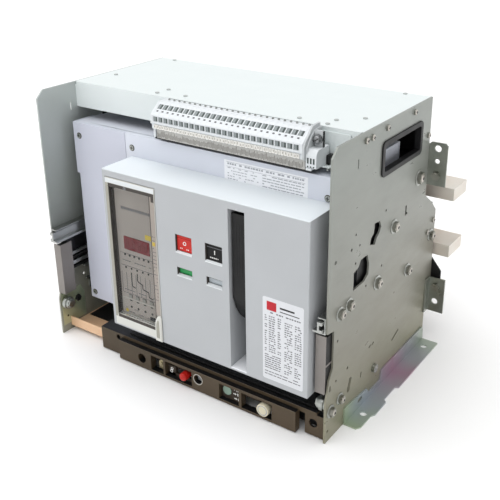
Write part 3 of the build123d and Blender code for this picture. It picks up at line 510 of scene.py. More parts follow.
def controller_details():
    """Bezel, display, printed curves, key marks and small print of the trip unit, with painted shade in the
    bezel's recess and a painted highlight along its upper edge.
    """
    y = FACE_Y
    back, front = y + 0.3, y - PRINT_RELIEF
    # painted shade of the recess: dark sheets on its left and upper walls, painted shadow across the face
    # below its upper edge and down its left side, and dark bands on the bezel above and below the opening and
    # at its right corner
    recess_shade = Piece("controller_recess_shade")
    recess_shade.box(-111.45, -110.9, -14.2, -5.9, 101.2, 326.2)
    recess_shade.box(-110.9, -22.6, -14.2, -5.9, 325.9, 326.4)
    recess_shade.prism_y([(-110.9, 326), (-22.8, 326), (-22.8, 321.5), (-106, 321.5), (-107.5, 320), (-107.5, 104),
                   (-110.9, 103)], y - 0.5, y + 0.1)
    recess_shade.box(-111.2, -17.6, -15.25, -14.9, 326.2, 331.6)
    recess_shade.box(-23.5, -17.6, -15.3, -14.9, 318, 331.6)
    recess_shade.box(-110.6, -27.2, -15.2, -14.9, 95.5, 101.2)
    recess_shade.place("recess_shade", "breaker", "bezel_ivory", 0.15)
    # painted highlight: pale strip along the bezel's upper edge where it catches the light
    highlight_lip = Piece("controller_lip")
    highlight_lip.prism_x([(-14.6, 331.6), (-15.3, 332.4), (-15.3, 338.6), (-14.6, 339.6)], -116.6, -17.4)
    highlight_lip.place("highlight_lip", "breaker", "bezel_ivory", 0.3)
    bevel = Piece("controller_left_bevel")
    bevel.prism_z([(-116.8, -14.6), (-116.4, -15.3), (-111.2, -14.95), (-111.2, -14.2)], 95.5, 331.4)
    bevel.place("bezel_shade", "breaker", "bezel_ivory", 0.15)
    seam = Piece("controller_left_seam")
    seam.prism_z([(-114.9, -15.35), (-114.3, -15.35), (-114.3, -15.0), (-114.9, -15.0)], 97, 330)
    seam.place("pale_ink", "breaker", "bezel_ivory", 0)
    strip = Piece("controller_right_strip")
    strip.box(-26.2, -17.5, -15.25, -14.9, 125.5, 326.2)
    strip.place("face", "breaker", "bezel_ivory", 0.1)
    # painted shade: dark line along the clear lid's right edge
    edge = Piece("lid_edge")
    edge.box(-27.4, -26.2, -15.35, -14.9, 101.2, 326.2)
    edge.place("ink_and_shade", "breaker", "bezel_ivory", 0.1)
    notes = Piece("controller_strip_notes")
    rows_of_print(notes, -25.2, -19, 150, 262, 6.4, 1.5, -15.4, -15.2, (1.6, 3.4), 0.75)
    notes.place("print_grey", "breaker", "bezel_ivory", 0)
    grip = Piece("controller_grip")
    outline = [(-15.4, 78.5), (-15.4, 121), (-17.4, 125), (-20.5, 125.4),
               (-25, 120.5), (-28.2, 113), (-29.2, 106), (-29.2, 78.5)]
    grip.skin([[(x, -14.8, z) for x, z in outline],
               [(x, -16.4, z) for x, z in outline],
               [(-22.2 + (x + 22.2) * 0.72, -18.2, 101 + (z - 101) * 0.93) for x, z in outline]])
    grip.place("bezel", "breaker", "bezel_ivory", 0.5)
    hollow = Piece("controller_grip_hollow")
    hollow.skin([[(-22.2 + (x + 22.2) * 0.5, -18.0, 101 + (z - 101) * 0.72) for x, z in outline],
                 [(-22.2 + (x + 22.2) * 0.46, -18.4, 101 + (z - 101) * 0.68) for x, z in outline]])
    hollow.place("bezel_shade", "breaker", "bezel_ivory", 0.1)

    lens = Piece("display_lens")
    lens.prism_y([(-94, 221), (-94, 242), (-93, 243), (-41, 243),
                  (-40, 242), (-40, 221), (-41, 220), (-93, 220)], y - 0.7, back)
    lens.place("lens", "breaker", "front_grey", 0.3)
    digits = Piece("display_digits")
    segments = ((0, 6, 0, 1), (0, 6, 6.5, 7.5), (0, 6, 13, 14),
                (0, 1, 1, 6.5), (5, 6, 1, 6.5), (0, 1, 7.5, 13), (5, 6, 7.5, 13))
    for k in range(4):
        x = -89 + 12.4 * k
        for dx0, dx1, dz0, dz1 in segments:
            digits.box(x + dx0, x + dx1, y - 0.82, y - 0.6, 224.5 + dz0, 224.5 + dz1)
    digits.place("digit", "breaker", "front_grey", 0)

    marks = Piece("controller_marks")
    for k in range(7):
        marks.turned((-94 + 10.0 * k, 0, 210), "y", [(front - 0.3, 1.2), (front - 0.1, 1.9), (back, 1.9)], 12)
    for k in range(6):
        marks.turned((-94 + 12.0 * k, 0, 187), "y", [(front - 0.3, 1.1), (front - 0.1, 1.7), (back, 1.7)], 12)
    for x in (-88, -73, -58, -43, -29):
        marks.box(x - 2.6, x + 2.6, front, back, 127.0, 128.8)
        marks.turned((x, 0, 116), "y", [(front - 0.3, 1.3), (front - 0.1, 2.0), (back, 2.0)], 12)
    marks.prism_y([(-48, 103.6), (-48, 109.4), (-47, 110.4), (-38, 110.4), (-37, 109.4), (-37, 103.6)],
                  front - 0.4, back)
    marks.place("ink_and_shade", "breaker", "front_grey", 0.1)
    curves = Piece("controller_curves")
    curves.line([(-83, 180), (-83, 156.5), (-81, 155), (-76, 154)], 1.7, front, back)
    curves.line([(-70, 181), (-71, 169), (-68, 166.5), (-60, 164),
                 (-60, 156), (-48, 154), (-47, 145), (-39, 144)], 1.7, front, back)
    curves.place("ink_and_shade", "breaker", "front_grey", 0)
    small = Piece("controller_small_print")
    for x in range(-104, -40, 10):
        small.box(x, x + 0.5, front, back, 140, 178)
    for z in (140, 190, 212):
        small.box(-104, -30, front, back, z, z + 0.5)
    rows_of_print(small, -100, -30, 193, 200, 6.5, 1.1, front, back, (3, 6), 0.6)
    rows_of_print(small, -100, -30, 143, 147, 6.5, 1.0, front, back, (3, 6), 0.6)
    rows_of_print(small, -100, -50, 104, 113, 6.5, 1.0, front, back, (3, 6), 0.6)
    small.place("print_grey", "breaker", "front_grey", 0)
    panel = Piece("keypad_window")
    for z0, z1, x0, x1 in ((130.2, 131.4, -104, -34), (102.4, 103.4, -104, -34), (105.4, 128.4, -107, -106),
                           (105.4, 128.4, -32, -31)):
        panel.box(x0, x1, front - 0.1, back, z0, z1)
    panel.line([(-106.5, 128), (-106, 130), (-104, 130.8)], 1.0, front - 0.1, back)
    panel.line([(-106.5, 106), (-106, 104), (-104, 102.9)], 1.0, front - 0.1, back)
    panel.place("pale_ink", "breaker", "front_grey", 0)
    heading = Piece("controller_heading")
    rows_of_print(heading, -95, -27, 287, 293.5, 20, 4.6, front, back, (0.9, 2.2), 0.95)
    heading.place("print_grey", "breaker", "front_grey", 0)
    tags = Piece("controller_tags")
    tags.prism_y([(-48, 248), (-48, 254.5), (-47, 255.5), (-29, 255.5), (-29, 247), (-47, 247)],
                 front - 0.1, back)
    tags.prism_y([(-25.4, 246), (-25.4, 252.5), (-19.5, 252.5), (-19.5, 246)], -15.4, -15.2)
    tags.turned((-98, 0, 107.5), "y", [(front - 0.3, 2.4), (front - 0.1, 3.0), (back, 3.0)], 16)
    tags.place("yellow", "breaker", "front_grey", 0.1)
    bezel_screw("bezel_screw", -76, 328.6, BEZEL_Y - 0.2)


def bezel_screw(name, x, z, y):
    """Small cross-head screw in the controller's bezel."""
    screw = Piece(name)
    screw.turned((x, 0, z), "y", [(y - 0.7, 1.6), (y - 0.5, 2.6), (y + 0.2, 2.8)], 20)
    screw.place("steel", "breaker", "screw_zinc", 0.1)
    # painted shade in the cross slot of the screw head
    cross = Piece(name + "_cross")
    cross.box(x - 1.6, x + 1.6, y - 0.78, y - 0.6, z - 0.35, z + 0.35)
    cross.box(x - 0.35, x + 0.35, y - 0.78, y - 0.6, z - 1.6, z + 1.6)
    cross.place("ink_and_shade", "breaker", "screw_zinc", 0)


def button_details():
    """Signs and ridges of the two buttons, with the dark edges of their windows painted shade and the pale
    ledges below them painted highlights.
    """
    for name, (x0, x1), body, slot, look, ridge_look in (
            ("off", (20, 51), "off_push", "off_red", "white_ink", "knob_red"),
            ("on", (76, 107), "on_push", "on_black", "white_ink", "print_grey")):
        middle, y = (x0 + x1) / 2, BUTTON_Y
        sign = Piece(name + "_sign")
        if name == "off":
            sign.ring_y(middle, 263.5, 2.0, 3.1, y - 0.25, y + 0.2)
        else:
            sign.box(middle - 0.7, middle + 0.7, y - 0.25, y + 0.2, 260.5, 267)
        rows_of_print(sign, x0 + 7, x1 - 7, 253, 255.5, 9, 1.5, y - 0.2, y + 0.2, (1.2, 2.6), 0.95)
        sign.place(look, body, slot, 0)
        ridge = Piece(name + "_ridge")
        ridge.prism_x([(y - 0.25, 270.6), (y - 0.25, 271.2), (y + 0.2, 271.8), (y + 0.2, 270.4)],
                      x0 + 1.5, x1 - 1.5)
        ridge.place(ridge_look, body, slot, 0)
        # painted shade along the left and upper edges of the button's opening and of the flag window below it
        window_shade = Piece(name + "_shadow_gap")
        window_shade.box(x0 - 0.05, x0 + 0.6, -13.6, -5, 249, 277)
        window_shade.box(x0, x1, -13.6, -5, 276.5, 277.05)
        window_shade.box(x0 + 0.95, x0 + 1.6, -13.6, -5, 210, 223)
        window_shade.box(x0 + 1, x1 - 1, -13.6, -8.3, 222.6, 223.05)
        window_shade.place("recess_shade", "breaker", "front_grey", 0.1)
        # painted highlight: pale ledges below each opening, where the light from above falls
        highlight_lip = Piece(name + "_lip")
        highlight_lip.prism_x([(-14.5, 246.6), (-14.5, 248.2), (-11.6, 250.2), (-11.6, 246.6)], x0, x1)
        highlight_lip.prism_x([(-14.5, 207.8), (-14.5, 209.2), (-9.5, 211.4), (-9.5, 207.8)], x0 + 1, x1 - 1)
        highlight_lip.place("highlight_lip", "breaker", "front_grey", 0.35)


def drum_face(piece, x0, x1, low, high, thick=1.2):
    """Curved face of an indicator drum between two angles above the horizontal, in degrees."""
    steps = 8
    outer, inner = [], []
    for k in range(steps + 1):
        a = math.radians(low + (high - low) * k / steps)
        for points, radius in ((outer, DRUM_RADIUS), (inner, DRUM_RADIUS - thick)):
            points.append((DRUM_Y - radius * math.cos(a), DRUM_Z + radius * math.sin(a)))
    for k in range(steps):
        piece.prism_x([outer[k], outer[k + 1], inner[k + 1], inner[k]], x0, x1)


def flag_faces():
    """Printed drum faces of the contact flag and the spring flag behind their windows."""
    for name, (x0, x1), body, first, second in (
            ("contact", (21.9, 49.5), "contact_indicator", "green", "knob_red"),
            ("charge", (77.9, 105.5), "charge_indicator", "flag_pale", "yellow")):
        shown = Piece(name + "_flag_face")
        drum_face(shown, x0, x1, -28, 28)
        shown.place(first, body, "flag_green" if name == "contact" else "flag_white", 0)
        hidden = Piece(name + "_flag_other_face")
        drum_face(hidden, x0, x1, 28, 84)
        hidden.place(second, body, "flag_green" if name == "contact" else "flag_white", 0)


def rating_plate():
    """White plate with a plain red mark and rows of small print."""
    y = COVER_Y
    plate = Piece("rating_plate")
    x0, x1, z0, z1 = 177, 245, 87, 222
    cut = 2                # corners cut off at 45 degrees
    plate.prism_y([(x0 + cut, z0), (x0, z0 + cut), (x0, z1 - cut), (x0 + cut, z1),
                   (x1 - cut, z1), (x1, z1 - cut), (x1, z0 + cut), (x1 - cut, z0)], y - 0.3, y + 0.2)
    plate.place("label", "breaker", "front_grey", 0.1)
    mark = Piece("rating_mark")
    mark.box(184, 200, y - 0.45, y - 0.2, 202, 216)
    mark.place("mark_red", "breaker", "front_grey", 0)
    bar = Piece("rating_bar")
    bar.box(206, 238, y - 0.45, y - 0.2, 204, 205.2)
    bar.box(206, 230, y - 0.45, y - 0.2, 209, 211.6)
    bar.place("ink_and_shade", "breaker", "front_grey", 0)
    rows = Piece("rating_rows")
    a, b = y - 0.42, y - 0.2
    rows_of_print(rows, 190, 240, 196, 199.5, 5, 1.9, a, b, (2, 5), 0.9)
    for k0, k1 in ((180.5, 184.5), (187.5, 199), (202.5, 208)):
        rows_of_print(rows, k0, k1, 133, 193, 3.6, 1.5, a, b, (1.5, 5), 0.9)
    for k0, k1 in ((214, 227), (231, 242)):
        rows_of_print(rows, k0, k1, 104, 190, 3.6, 1.5, a, b, (1.5, 5), 0.85)
    rows_of_print(rows, 180.5, 208, 104, 129, 3.6, 1.4, a, b, (3, 9), 0.95)
    rows_of_print(rows, 180.5, 241, 91, 101, 4.6, 1.3, a, b, (3, 9), 0.9)
    rows.place("print_grey", "breaker", "front_grey", 0)


def body_label():
    """Pale film with small print on the housing above the front cover."""
    y = BODY_Y
    label = Piece("body_label")
    label.box(62, 206, y - 0.25, y + 0.2, 325, 382)
    label.place("label_pale", "breaker", "housing_lilac", 0.05)
    faint = Piece("body_label_rows")
    for z in (328, 372, 379):
        faint.box(66, 202, y - 0.34, y - 0.2, z, z + 0.5)
    rows_of_print(faint, 68, 124, 330, 371, 4.2, 1.1, y - 0.36, y - 0.2, (2, 6), 0.6)
    rows_of_print(faint, 130, 200, 330, 371, 4.2, 1.4, y - 0.36, y - 0.2, (3, 9), 0.85)
    rows_of_print(faint, 68, 200, 373, 378, 9, 2.6, y - 0.36, y - 0.2, (2, 5), 0.8)
    faint.place("print_faint", "breaker", "housing_lilac", 0)


WAYS = 26
BLOCK_X0, BLOCK_X1 = -66.0, 205.0   # ends of the terminal block
END_WALL = 5.0
WAY_PITCH = (BLOCK_X1 - BLOCK_X0 - 2 * END_WALL) / WAYS


def terminal_strip():
    """Two-tier terminal strip: thin white walls with grey-green entries between them."""
    outline = [(82, 397), (47, 397), (47, 410), (44, 411), (44, 418.5),
               (41, 420), (41, 433.5), (47, 438.5), (62, 450), (82, 450)]
    foot = 409.6           # lower edge of the walls between the ways
    white = Piece("terminal_walls")
    for i in range(WAYS + 1):
        x = BLOCK_X0 + END_WALL + WAY_PITCH * i
        white.prism_x([(82, foot), (47, foot)] + outline[3:], x - 0.8, x + 0.8)
    white.prism_x(outline, BLOCK_X0, BLOCK_X0 + 4.0)
    white.prism_x(outline[3:] + [(82, foot)], BLOCK_X1 - 4.0, BLOCK_X1)
    filler = [(81, 409.8), (47.5, 409.8), (44.9, 411.6), (44.9, 418.4), (41.4, 420.4), (41.3, 423.6),
              (43.4, 424.0), (43.4, 431.2), (41.3, 431.6), (41.3, 433.4), (47.0, 438.2), (51.2, 441.4),
              (52.1, 440.6), (59.0, 445.9), (58.3, 446.9), (61.9, 449.7), (81, 449.7)]
    white.prism_x(filler, BLOCK_X0 + 3, 202)
    white.place("block", "cradle", "block_white", 0.2, replaces=("terminal_block",))
    entries = Piece("terminal_entries")
    # painted shade: the dark right part of each entry is shade inside the hole
    entry_shades = Piece("terminal_entry_shades")
    dots = Piece("terminal_dots")
    for i in range(WAYS):
        a = BLOCK_X0 + END_WALL + WAY_PITCH * i + 0.8
        b = a + WAY_PITCH - 1.6
        entries.prism_x([(42.2, 424.1), (42.2, 431.1), (44.6, 431.1), (44.6, 424.1)], a, b)
        entries.prism_x([(51.5, 441.2), (58.2, 446.4), (59.8, 444.8), (53.0, 439.6)], a, b)
        entry_shades.prism_x([(42.0, 424.1), (42.0, 431.1), (43.6, 431.1), (43.6, 424.1)], b - 3.6, b)
        entry_shades.prism_x([(51.4, 441.3), (58.1, 446.6), (59.1, 445.2), (52.4, 440.0)], b - 3.6, b)
        dots.prism_x([(46.6, 438.5), (48.4, 439.9), (49.2, 439.1), (47.4, 437.7)], a + 2.2, a + 5.4)
        dots.turned((a + 4.1, 76, 0), "z", [(451.4, 1.5), (451.8, 1.3)], 10)
    for z in (404.0, 413.5):
        for k in range(3):
            dots.box(BLOCK_X0 - 0.25, BLOCK_X0 + 0.4, 52 + 7 * k, 54 + 7 * k, z, z + 4)
    entries.place("block_grey", "cradle", "block_white", 0.1)
    entry_shades.place("entry_shade", "cradle", "block_white", 0)
    dots.place("print_grey", "cradle", "block_white", 0)
    strip = Piece("marker_strip")
    for i in range(WAYS * 2):
        a = BLOCK_X0 + 4.5 + WAY_PITCH * i / 2
        strip.prism_x([(43.2, 411.6), (43.2, 418), (46, 418.4), (46, 411.2)], a, a + WAY_PITCH / 2 - 0.7)
    strip.place("marker", "cradle", "block_white", 0.2)
    ticks = Piece("marker_ticks")
    for i in range(WAYS * 2):
        x = BLOCK_X0 + 5.4 + WAY_PITCH * i / 2 + random.uniform(0, 1.2)
        z = 412.6 + random.uniform(0, 1.4)
        ticks.box(x, x + 1.5, 42.95, 43.4, z, z + 3.2)
    ticks.place("pale_ink", "cradle", "block_white", 0)
    comb = Piece("wire_comb")
    comb.box(BLOCK_X0 + 7, 206, 46.6, 60, 396.4, 409.9)
    comb.place("comb", "cradle", "block_white", 0.2)
    teeth = Piece("wire_comb_teeth")
    count = 116
    for i in range(count):
        x = BLOCK_X0 + 8 + i * (262.0 / count)
        z = 397 + random.uniform(0, 3)
        teeth.box(x, x + 0.8, 46.2, 46.8, z, z + random.uniform(5, 9))
    teeth.place("comb_dark", "cradle", "block_white", 0)
    gap = Piece("block_shadow_strip")
    gap.box(BLOCK_X0 + 2, 216, 47.4, 80, 394.3, 396.4)
    gap.place("black", "cradle", "bracket_zinc", 0.2)


def end_clamp():
    """Right end of the terminal strip: wedge plate, clamp screw and the small three-way socket."""
    wedge = Piece("end_wedge")
    wedge.prism_x([(82, 409.8), (45, 409.8), (40, 412.5), (40, 429), (44, 437),
                   (54, 446), (62, 454), (70, 455.6), (82, 455.6)], 205.2, 208.6)
    wedge.prism_x([(82, 409.8), (47, 409.8), (44, 412.5), (44, 428), (56, 443), (66, 450), (82, 450)],
                  208.6, 211)
    wedge.place("end_grey", "cradle", "block_white", 0.5)
    tab = Piece("end_tab")
    tab.prism_y([(211.6, 400), (211.6, 448), (213, 450), (223, 450), (224.4, 448), (224.4, 400)], 62, 65)
    tab.place("end_grey", "cradle", "bracket_zinc", 0.4)
    shadow = Piece("end_tab_shadow")
    shadow.box(224.4, 225.4, 61.8, 66, 414, 449.6)
    shadow.box(225.4, 231, 70, 81.6, 401, 414)
    shadow.place("black", "cradle", "bracket_zinc", 0.1)
    screw = Piece("end_tab_screw")
    profile = [(54.4, 3.0), (55.2, 4.8), (56.6, 5.6), (58.4, 5.6), (58.4, 7.0), (62, 7.0)]
    screw.turned((217.4, 0, 438), "y", profile, 28)
    screw.place("steel", "cradle", "screw_zinc", 0.3)
    # painted shade in the screw's slot
    slot = Piece("end_tab_slot")
    slot.prism_y([(213.6, 436.4), (214.4, 435.2), (221.2, 439.6), (220.4, 440.8)], 54.2, 55.0)
    slot.place("ink_and_shade", "cradle", "screw_zinc", 0)
    socket = Piece("end_socket")
    socket.prism_x([(78, 400.8), (45, 400.8), (43.6, 402), (43.6, 419), (46, 424), (50, 427), (78, 427)],
                   208.8, 225.6)
    socket.prism_x([(60, 400.8), (43.6, 400.8), (43.6, 397.2), (60, 397.2)], 208.8, 217.6)
    socket.place("block", "cradle", "block_white", 0.6, replaces=("terminal_end_parts",))
    # painted shade inside the socket's holes
    holes = Piece("end_socket_holes")
    for k in range(3):
        x = 211.2 + 4.6 * k
        holes.prism_y([(x, 407.5), (x, 415.5), (x + 2.5, 415.5), (x + 2.5, 407.5)], 43.3, 44.4)
        holes.box(x, x + 2.2, 43.3, 44.4, 402.2, 404.2)
    holes.place("entry_shade", "cradle", "block_white", 0.1)
    guides = Piece("end_rail_edges")
    guides.prism_x([(50, 400.6), (80, 400.6), (80, 402), (50, 402)], 238, 240)
    guides.prism_x([(50, 400.6), (80, 400.6), (80, 402), (50, 402)], 247, 249)
    guides.place("zinc", "cradle", "bracket_zinc", 0.2)


def beam_details():
    """Rims, painted highlights along the edges, padlock tab, inserts and a black backing of painted shade in
    the racking beam's hollow.
    """
    y = BEAM_Y
    rims = Piece("beam_rims")
    rims.ring_y(44, 24, 8.3, 9.6, y - 0.35, y + 0.3)
    rims.place("pale_ink", "cradle", "beam_brown", 0.05)
    # painted highlight: light lines along two of the beam's edges where they catch the light
    edge = Piece("beam_edges")
    edge.box(-126, 225, y - 0.2, y + 0.3, 37.75, 38.1)
    edge.box(-60, 256, 4.7, 5.2, 43.8, 44.15)
    edge.place("painted_edge_highlight", "cradle", "beam_brown", 0.1)
    step = Piece("beam_step")
    step.box(-118, 262, 14, 40, 43.8, 46.5)
    step.place("base", "cradle", "beam_brown", 0.6)
    lock = Piece("padlock_tab")
    lock.prism_y([(-45, 9), (-46, 20), (-43, 25), (-38, 26), (-34.5, 22), (-34.5, 13), (-37, 8)], 4, 7)
    lock.turned((-40, 0, 19), "y", [(2.2, 2.2), (3.0, 3.2), (4.2, 3.2)], 18)
    lock.place("brass_pale", "cradle", "screw_zinc", 0.5)
    sign = Piece("padlock_sign")
    sign.ring_y(-17.5, 13.2, 1.6, 2.9, 3.1, 3.6)
    sign.ring_y(-16.2, 18.2, 1.5, 2.7, 3.1, 3.6)
    sign.place("white_ink", "cradle", "beam_brown", 0)
    panel = Piece("beam_left_panel")
    panel.box(-24.6, 30.6, 3.5, 8.6, 6.2, 12)
    panel.box(-24.6, -8.6, 3.5, 8.6, 6.2, 24)
    panel.place("insert", "cradle", "beam_brown", 0.3)
    backing = Piece("beam_hollow_shade")
    for x0, x1 in ((-172, 7), (60, 158), (182, 264)):
        backing.box(x0, x1, 27, 28, 3, 40)
    backing.place("black", "cradle", "beam_brown", 0)


def beam_signs_and_buttons():
    """Position signs beside the dial, and the caps of the two lock buttons."""
    arrows = Piece("position_signs")
    for k, z in enumerate((28.0, 20.0, 11.5)):
        x = 107.5 + 1.5 * k
        arrows.box(x, x + 3.4, 2.6, 3.2, z - 0.7, z + 0.7)
        arrows.prism_y([(x + 3.4, z - 1.9), (x + 3.4, z + 1.9), (x + 6.2, z)], 2.6, 3.2)
        arrows.box(x + 7.6, x + 9.0, 2.6, 3.2, z - 2.2, z + 2.2)
        arrows.box(x + 9.8, x + 11.2, 2.6, 3.2, z - 2.2, z + 2.2)
    arrows.place("white_ink", "cradle", "beam_brown", 0)
    cap = Piece("release_cap")
    profile = [(-11.9, 2.4), (-11.4, 4.8), (-10.2, 6.2), (-8.6, 6.9), (-3, 7.4), (-2.4, 7.0)]
    cap.turned((17, 0, 21), "y", profile, 28)
    cap.place("knob_red", "lock_release", "button_red", 0)
    ring = Piece("lock_button_ring")
    ring.ring_y(170, 19, 7.4, 8.6, -7.25, -6.9)
    ring.place("print_faint", "position_lock", "button_cream", 0.05)


def recessed_screws():
    """Dark wells and crosses of the four housing screws, painted shade in their recesses."""
    for i, (x, z) in enumerate(((-243, 366), (-123, 366), (-240, 70), (238, 358))):
        y = BODY_Y
        well = Piece(f"screw_well_{i}")
        well.ring_y(x, z, 4.0, 5.4, y - 0.3, y + 0.2)
        well.place("recess_shade", "breaker", "housing_lilac", 0.05)
        cross = Piece(f"screw_cross_{i}")
        cross.box(x - 2.6, x + 2.6, y - 1.85, y - 1.55, z - 0.5, z + 0.5)
        cross.box(x - 0.5, x + 0.5, y - 1.85, y - 1.55, z - 2.6, z + 2.6)
        cross.place("ink_and_shade", "breaker", "screw_zinc", 0)


def handle_details():
    """Ribs on the pump handle, and the pale floor of its slot, painted paler than the housing as painted
    light from above.
    """
    ribs = Piece("handle_ribs")
    for k in range(4):
        ribs.box(124 + 4.6 * k, 125.4 + 4.6 * k, -9.3, -8.8, 236, 318)
    ribs.place("handle", "pump_handle", "handle_black", 0.3)
    floor = Piece("slot_floor")
    floor.prism_x([(-13.6, 80.4), (-13.6, 82.2), (44, 84), (44, 80.4)], 118.6, 146.9)
    floor.place("label_pale", "breaker", "front_grey", 0.2)


# (y, z, width of the nut) and (y, z), the same on both side plates
LARGE_BOLTS = ((279, 327, 17), (196, 274, 15), (346, 203, 14), (257, 175, 14), (147, 200, 15), (33, 201, 14),
               (59, 203, 14), (41, 55, 12), (14, 49, 13))
SMALL_SCREWS = ((246, 441), (154, 440), (108, 438), (90, 438), (304, 390), (330, 214), (352, 229))


def bolt_faces():
    """Washer rims, chamfered ends and dark sockets of the bolts through both side plates; the sockets'
    darkness is painted shade.
    """
    washers, ends, sockets = Piece("bolt_washers"), Piece("bolt_ends"), Piece("bolt_sockets")
    for side in (-1, 1):
        for y, z, across in LARGE_BOLTS:
            at = (0, y, z)
            washers.turned(at, "x", [(side * 275, across * 0.78), (side * 276.0, across * 0.78),
                                     (side * 276.5, across * 0.7)], 28)
            ends.turned(at, "x", [(side * 281, across * 0.36), (side * 282.2, across * 0.36),
                                  (side * 283.2, across * 0.27)], 24)
            sockets.turned(at, "x", [(side * 283.0, across * 0.19), (side * 283.4, across * 0.16)], 14)
        for y, z in SMALL_SCREWS:
            ends.turned((0, y, z), "x", [(side * 277, 4.2), (side * 278.2, 3.6), (side * 278.7, 2.2)], 20)
            sockets.box(side * 278.2, side * 279.0, y - 2.3, y + 2.3, z - 0.6, z + 0.6)
            sockets.box(side * 278.2, side * 279.0, y - 0.6, y + 0.6, z - 2.3, z + 2.3)
    washers.place("zinc", "cradle", "bolt_zinc", 0.15)
    ends.place("silver", "cradle", "bolt_zinc", 0.15)
    sockets.place("ink_and_shade", "cradle", "bolt_zinc", 0)


def left_interior():
    """Slide bars and lock plates on the inside of the left plate, seen beside the breaker."""
    x = LEFT_INNER_X
    dark = Piece("left_lock_plate")
    dark.prism_x([(27, 128), (27, 178), (200, 178), (200, 146), (150, 128)], x - 0.4, x + 1.4)
    dark.place("spring", "cradle", "ear_zinc", 0.3)
    bars = Piece("left_slide_bars")
    bars.box(x, x + 6, 30, 210, 146, 152)
    bars.box(x, x + 8, 27, 190, 128, 135)
    bars.box(x, x + 5, 60, 170, 112, 116)
    bars.place("rail", "cradle", "rail_zinc", 0.6)
    slot = Piece("left_slide_shadows")
    slot.box(x, x + 6.5, 30, 210, 138, 143)
    slot.box(x, x + 5.5, 34, 180, 119, 123)
    slot.place("black", "cradle", "rail_zinc", 0.2)
    low = Piece("left_lower_guide")
    low.prism_x([(70, 66), (70, 80), (130, 80), (130, 74), (78, 74), (78, 66)], x, x + 2.5)
    low.box(x, x + 2.5, 64, 132, 84, 88)
    low.place("zinc", "cradle", "rail_zinc", 0.5)
    lining = Piece("left_lower_sheet")
    lining.prism_x([(3, 14), (3, 78), (50, 78), (58, 60), (58, 14)], x - 0.3, x + 0.5)
    lining.place("foot", "cradle", "ear_zinc", 0.2)
    nut = Piece("left_sheet_nut")
    nut.turned((0, 40, 56), "x", [(x + 0.4, 6.5), (x + 4.4, 6.5), (x + 5.2, 5.6)], 6)
    nut.turned((0, 14, 30), "x", [(x + 0.4, 2.2), (x + 0.9, 2.0)], 12)
    nut.place("black", "cradle", "screw_zinc", 0.3)


def painted_shade_sheets():
    """Painted shade: black sheets behind the side openings, in the front posts and on the floor pan."""
    shades = Piece("upper_side_shades")
    shades.box(-240, -238, 110, 294, 392, 444)
    shades.box(238, 240, 110, 294, 392, 444)
    shades.box(267.5, 268.5, 92, 168, 216, 312)
    shades.place("black", "cradle", "base_black", 0.2)
    post_shades = Piece("post_shade_sheets")
    post_shades.box(258.5, 271.5, 2.5, 24, 88, 176)
    post_shades.box(-271.5, -258.5, 2.5, 24, 88, 176)
    post_shades.place("black", "cradle", "post_bronze", 0.2)
    mat = Piece("pan_shadow_mat")
    mat.box(-268, -182, 62, 288, 10.4, 11.0)
    mat.box(-182, 250, 62, 288, 10.4, 10.9)
    mat.place("black", "cradle", "pan_zinc", 0)


controller_details()
bolt_faces()
left_interior()
painted_shade_sheets()
button_details()
flag_faces()
rating_plate()
body_label()
terminal_strip()
end_clamp()
beam_details()
beam_signs_and_buttons()
recessed_screws()
handle_details()


# ---- floor, light and camera --------------------------------------------------------------
def floor():
    """Plain pale floor for the pictures."""
    mesh = bpy.data.meshes.new("floor")
    bm = bmesh.new()
    bmesh.ops.create_grid(bm, x_segments=8, y_segments=8, size=20)
    bm.to_mesh(mesh)
    obj = bpy.data.objects.new("floor", mesh)
    bpy.context.scene.collection.objects.link(obj)
    g = Graph("floor_pale")
    g.link(g.ramp(g.noise(0.5), [(0.3, (0.93, 0.93, 0.93, 1)), (0.7, (0.95, 0.95, 0.95, 1))]),
           g.bsdf.inputs["Base Color"])
    g.bsdf.inputs["Roughness"].default_value = 0.9
    g.bsdf.inputs["Specular IOR Level"].default_value = 0.0
    mesh.materials.append(g.mat)


def softbox(name, place, target, size, watts):
    """A rectangular soft light that faces the target."""
    data = bpy.data.lights.new(name, "AREA")
    data.shape = "RECTANGLE"
    data.size, data.size_y = size
    data.energy = watts
    obj = bpy.data.objects.new(name, data)
    obj.location = place
    obj.rotation_euler = (Vector(target) - Vector(place)).to_track_quat("-Z", "Y").to_euler()
    bpy.context.scene.collection.objects.link(obj)


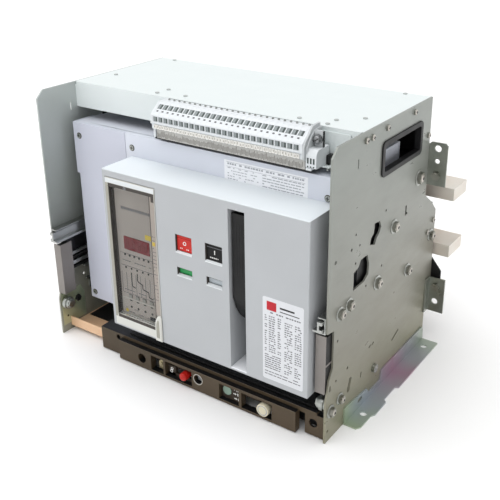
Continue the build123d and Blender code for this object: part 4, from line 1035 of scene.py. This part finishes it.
def studio():
    """Pale surroundings, one broad light from above and a weak one from the left."""
    scene = bpy.context.scene
    scene.view_settings.view_transform = "Standard"
    world = bpy.data.worlds.new("studio")
    world.use_nodes = True
    background = world.node_tree.nodes["Background"]
    background.inputs["Color"].default_value = (1.0, 1.0, 1.0, 1)
    # bright near the horizon like a studio's curved backdrop, softer overhead
    nodes, links = world.node_tree.nodes, world.node_tree.links
    split = nodes.new("ShaderNodeSeparateXYZ")
    links.new(nodes.new("ShaderNodeTexCoord").outputs["Generated"], split.inputs["Vector"])
    fade = nodes.new("ShaderNodeMapRange")
    links.new(split.outputs["Z"], fade.inputs["Value"])
    for key, value in (("From Min", 0.26), ("From Max", 0.5), ("To Min", 1.0), ("To Max", 0.4)):
        fade.inputs[key].default_value = value
    links.new(fade.outputs["Result"], background.inputs["Strength"])
    scene.world = world
    sky = bpy.data.lights.new("light_sky", "SUN")
    sky.energy = 2.5
    sky.angle = math.radians(80)
    obj = bpy.data.objects.new("light_sky", sky)
    obj.rotation_euler = Vector((-0.12, -0.1, 1.0)).to_track_quat("Z", "Y").to_euler()
    scene.collection.objects.link(obj)
    softbox("light_left", (-2.0, -1.9, 1.4), (0, 0, 0.22), (1.8, 1.8), 4)


AZIMUTH, ELEVATION, ROLL = 34.85, 21.97, -0.52      # degrees
CAMERA_AT = (726.3, -817.1, 758.6)                  # mm of the working frame
LENS, SHIFT_X, SHIFT_Y = 56.64, -0.012, -0.1


def camera():
    """The photograph's view."""
    data = bpy.data.cameras.new("camera")
    data.sensor_width = 36.0
    data.lens = LENS
    data.shift_x, data.shift_y = SHIFT_X, SHIFT_Y
    data.clip_start, data.clip_end = 0.05, 60
    obj = bpy.data.objects.new("camera", data)
    a, e, r = (math.radians(k) for k in (AZIMUTH, ELEVATION, ROLL))
    back = Vector((math.sin(a) * math.cos(e), -math.cos(a) * math.cos(e), math.sin(e)))
    right = (-back).cross(Vector((0, 0, 1))).normalized()
    up = right.cross(-back)
    x_axis = right * math.cos(r) + up * math.sin(r)
    y_axis = up * math.cos(r) - right * math.sin(r)
    turn = Matrix((x_axis, y_axis, back)).transposed().to_4x4()
    obj.matrix_world = Matrix.Translation(v(*CAMERA_AT)) @ turn
    bpy.context.scene.collection.objects.link(obj)
    bpy.context.scene.camera = obj


floor()
studio()
camera()
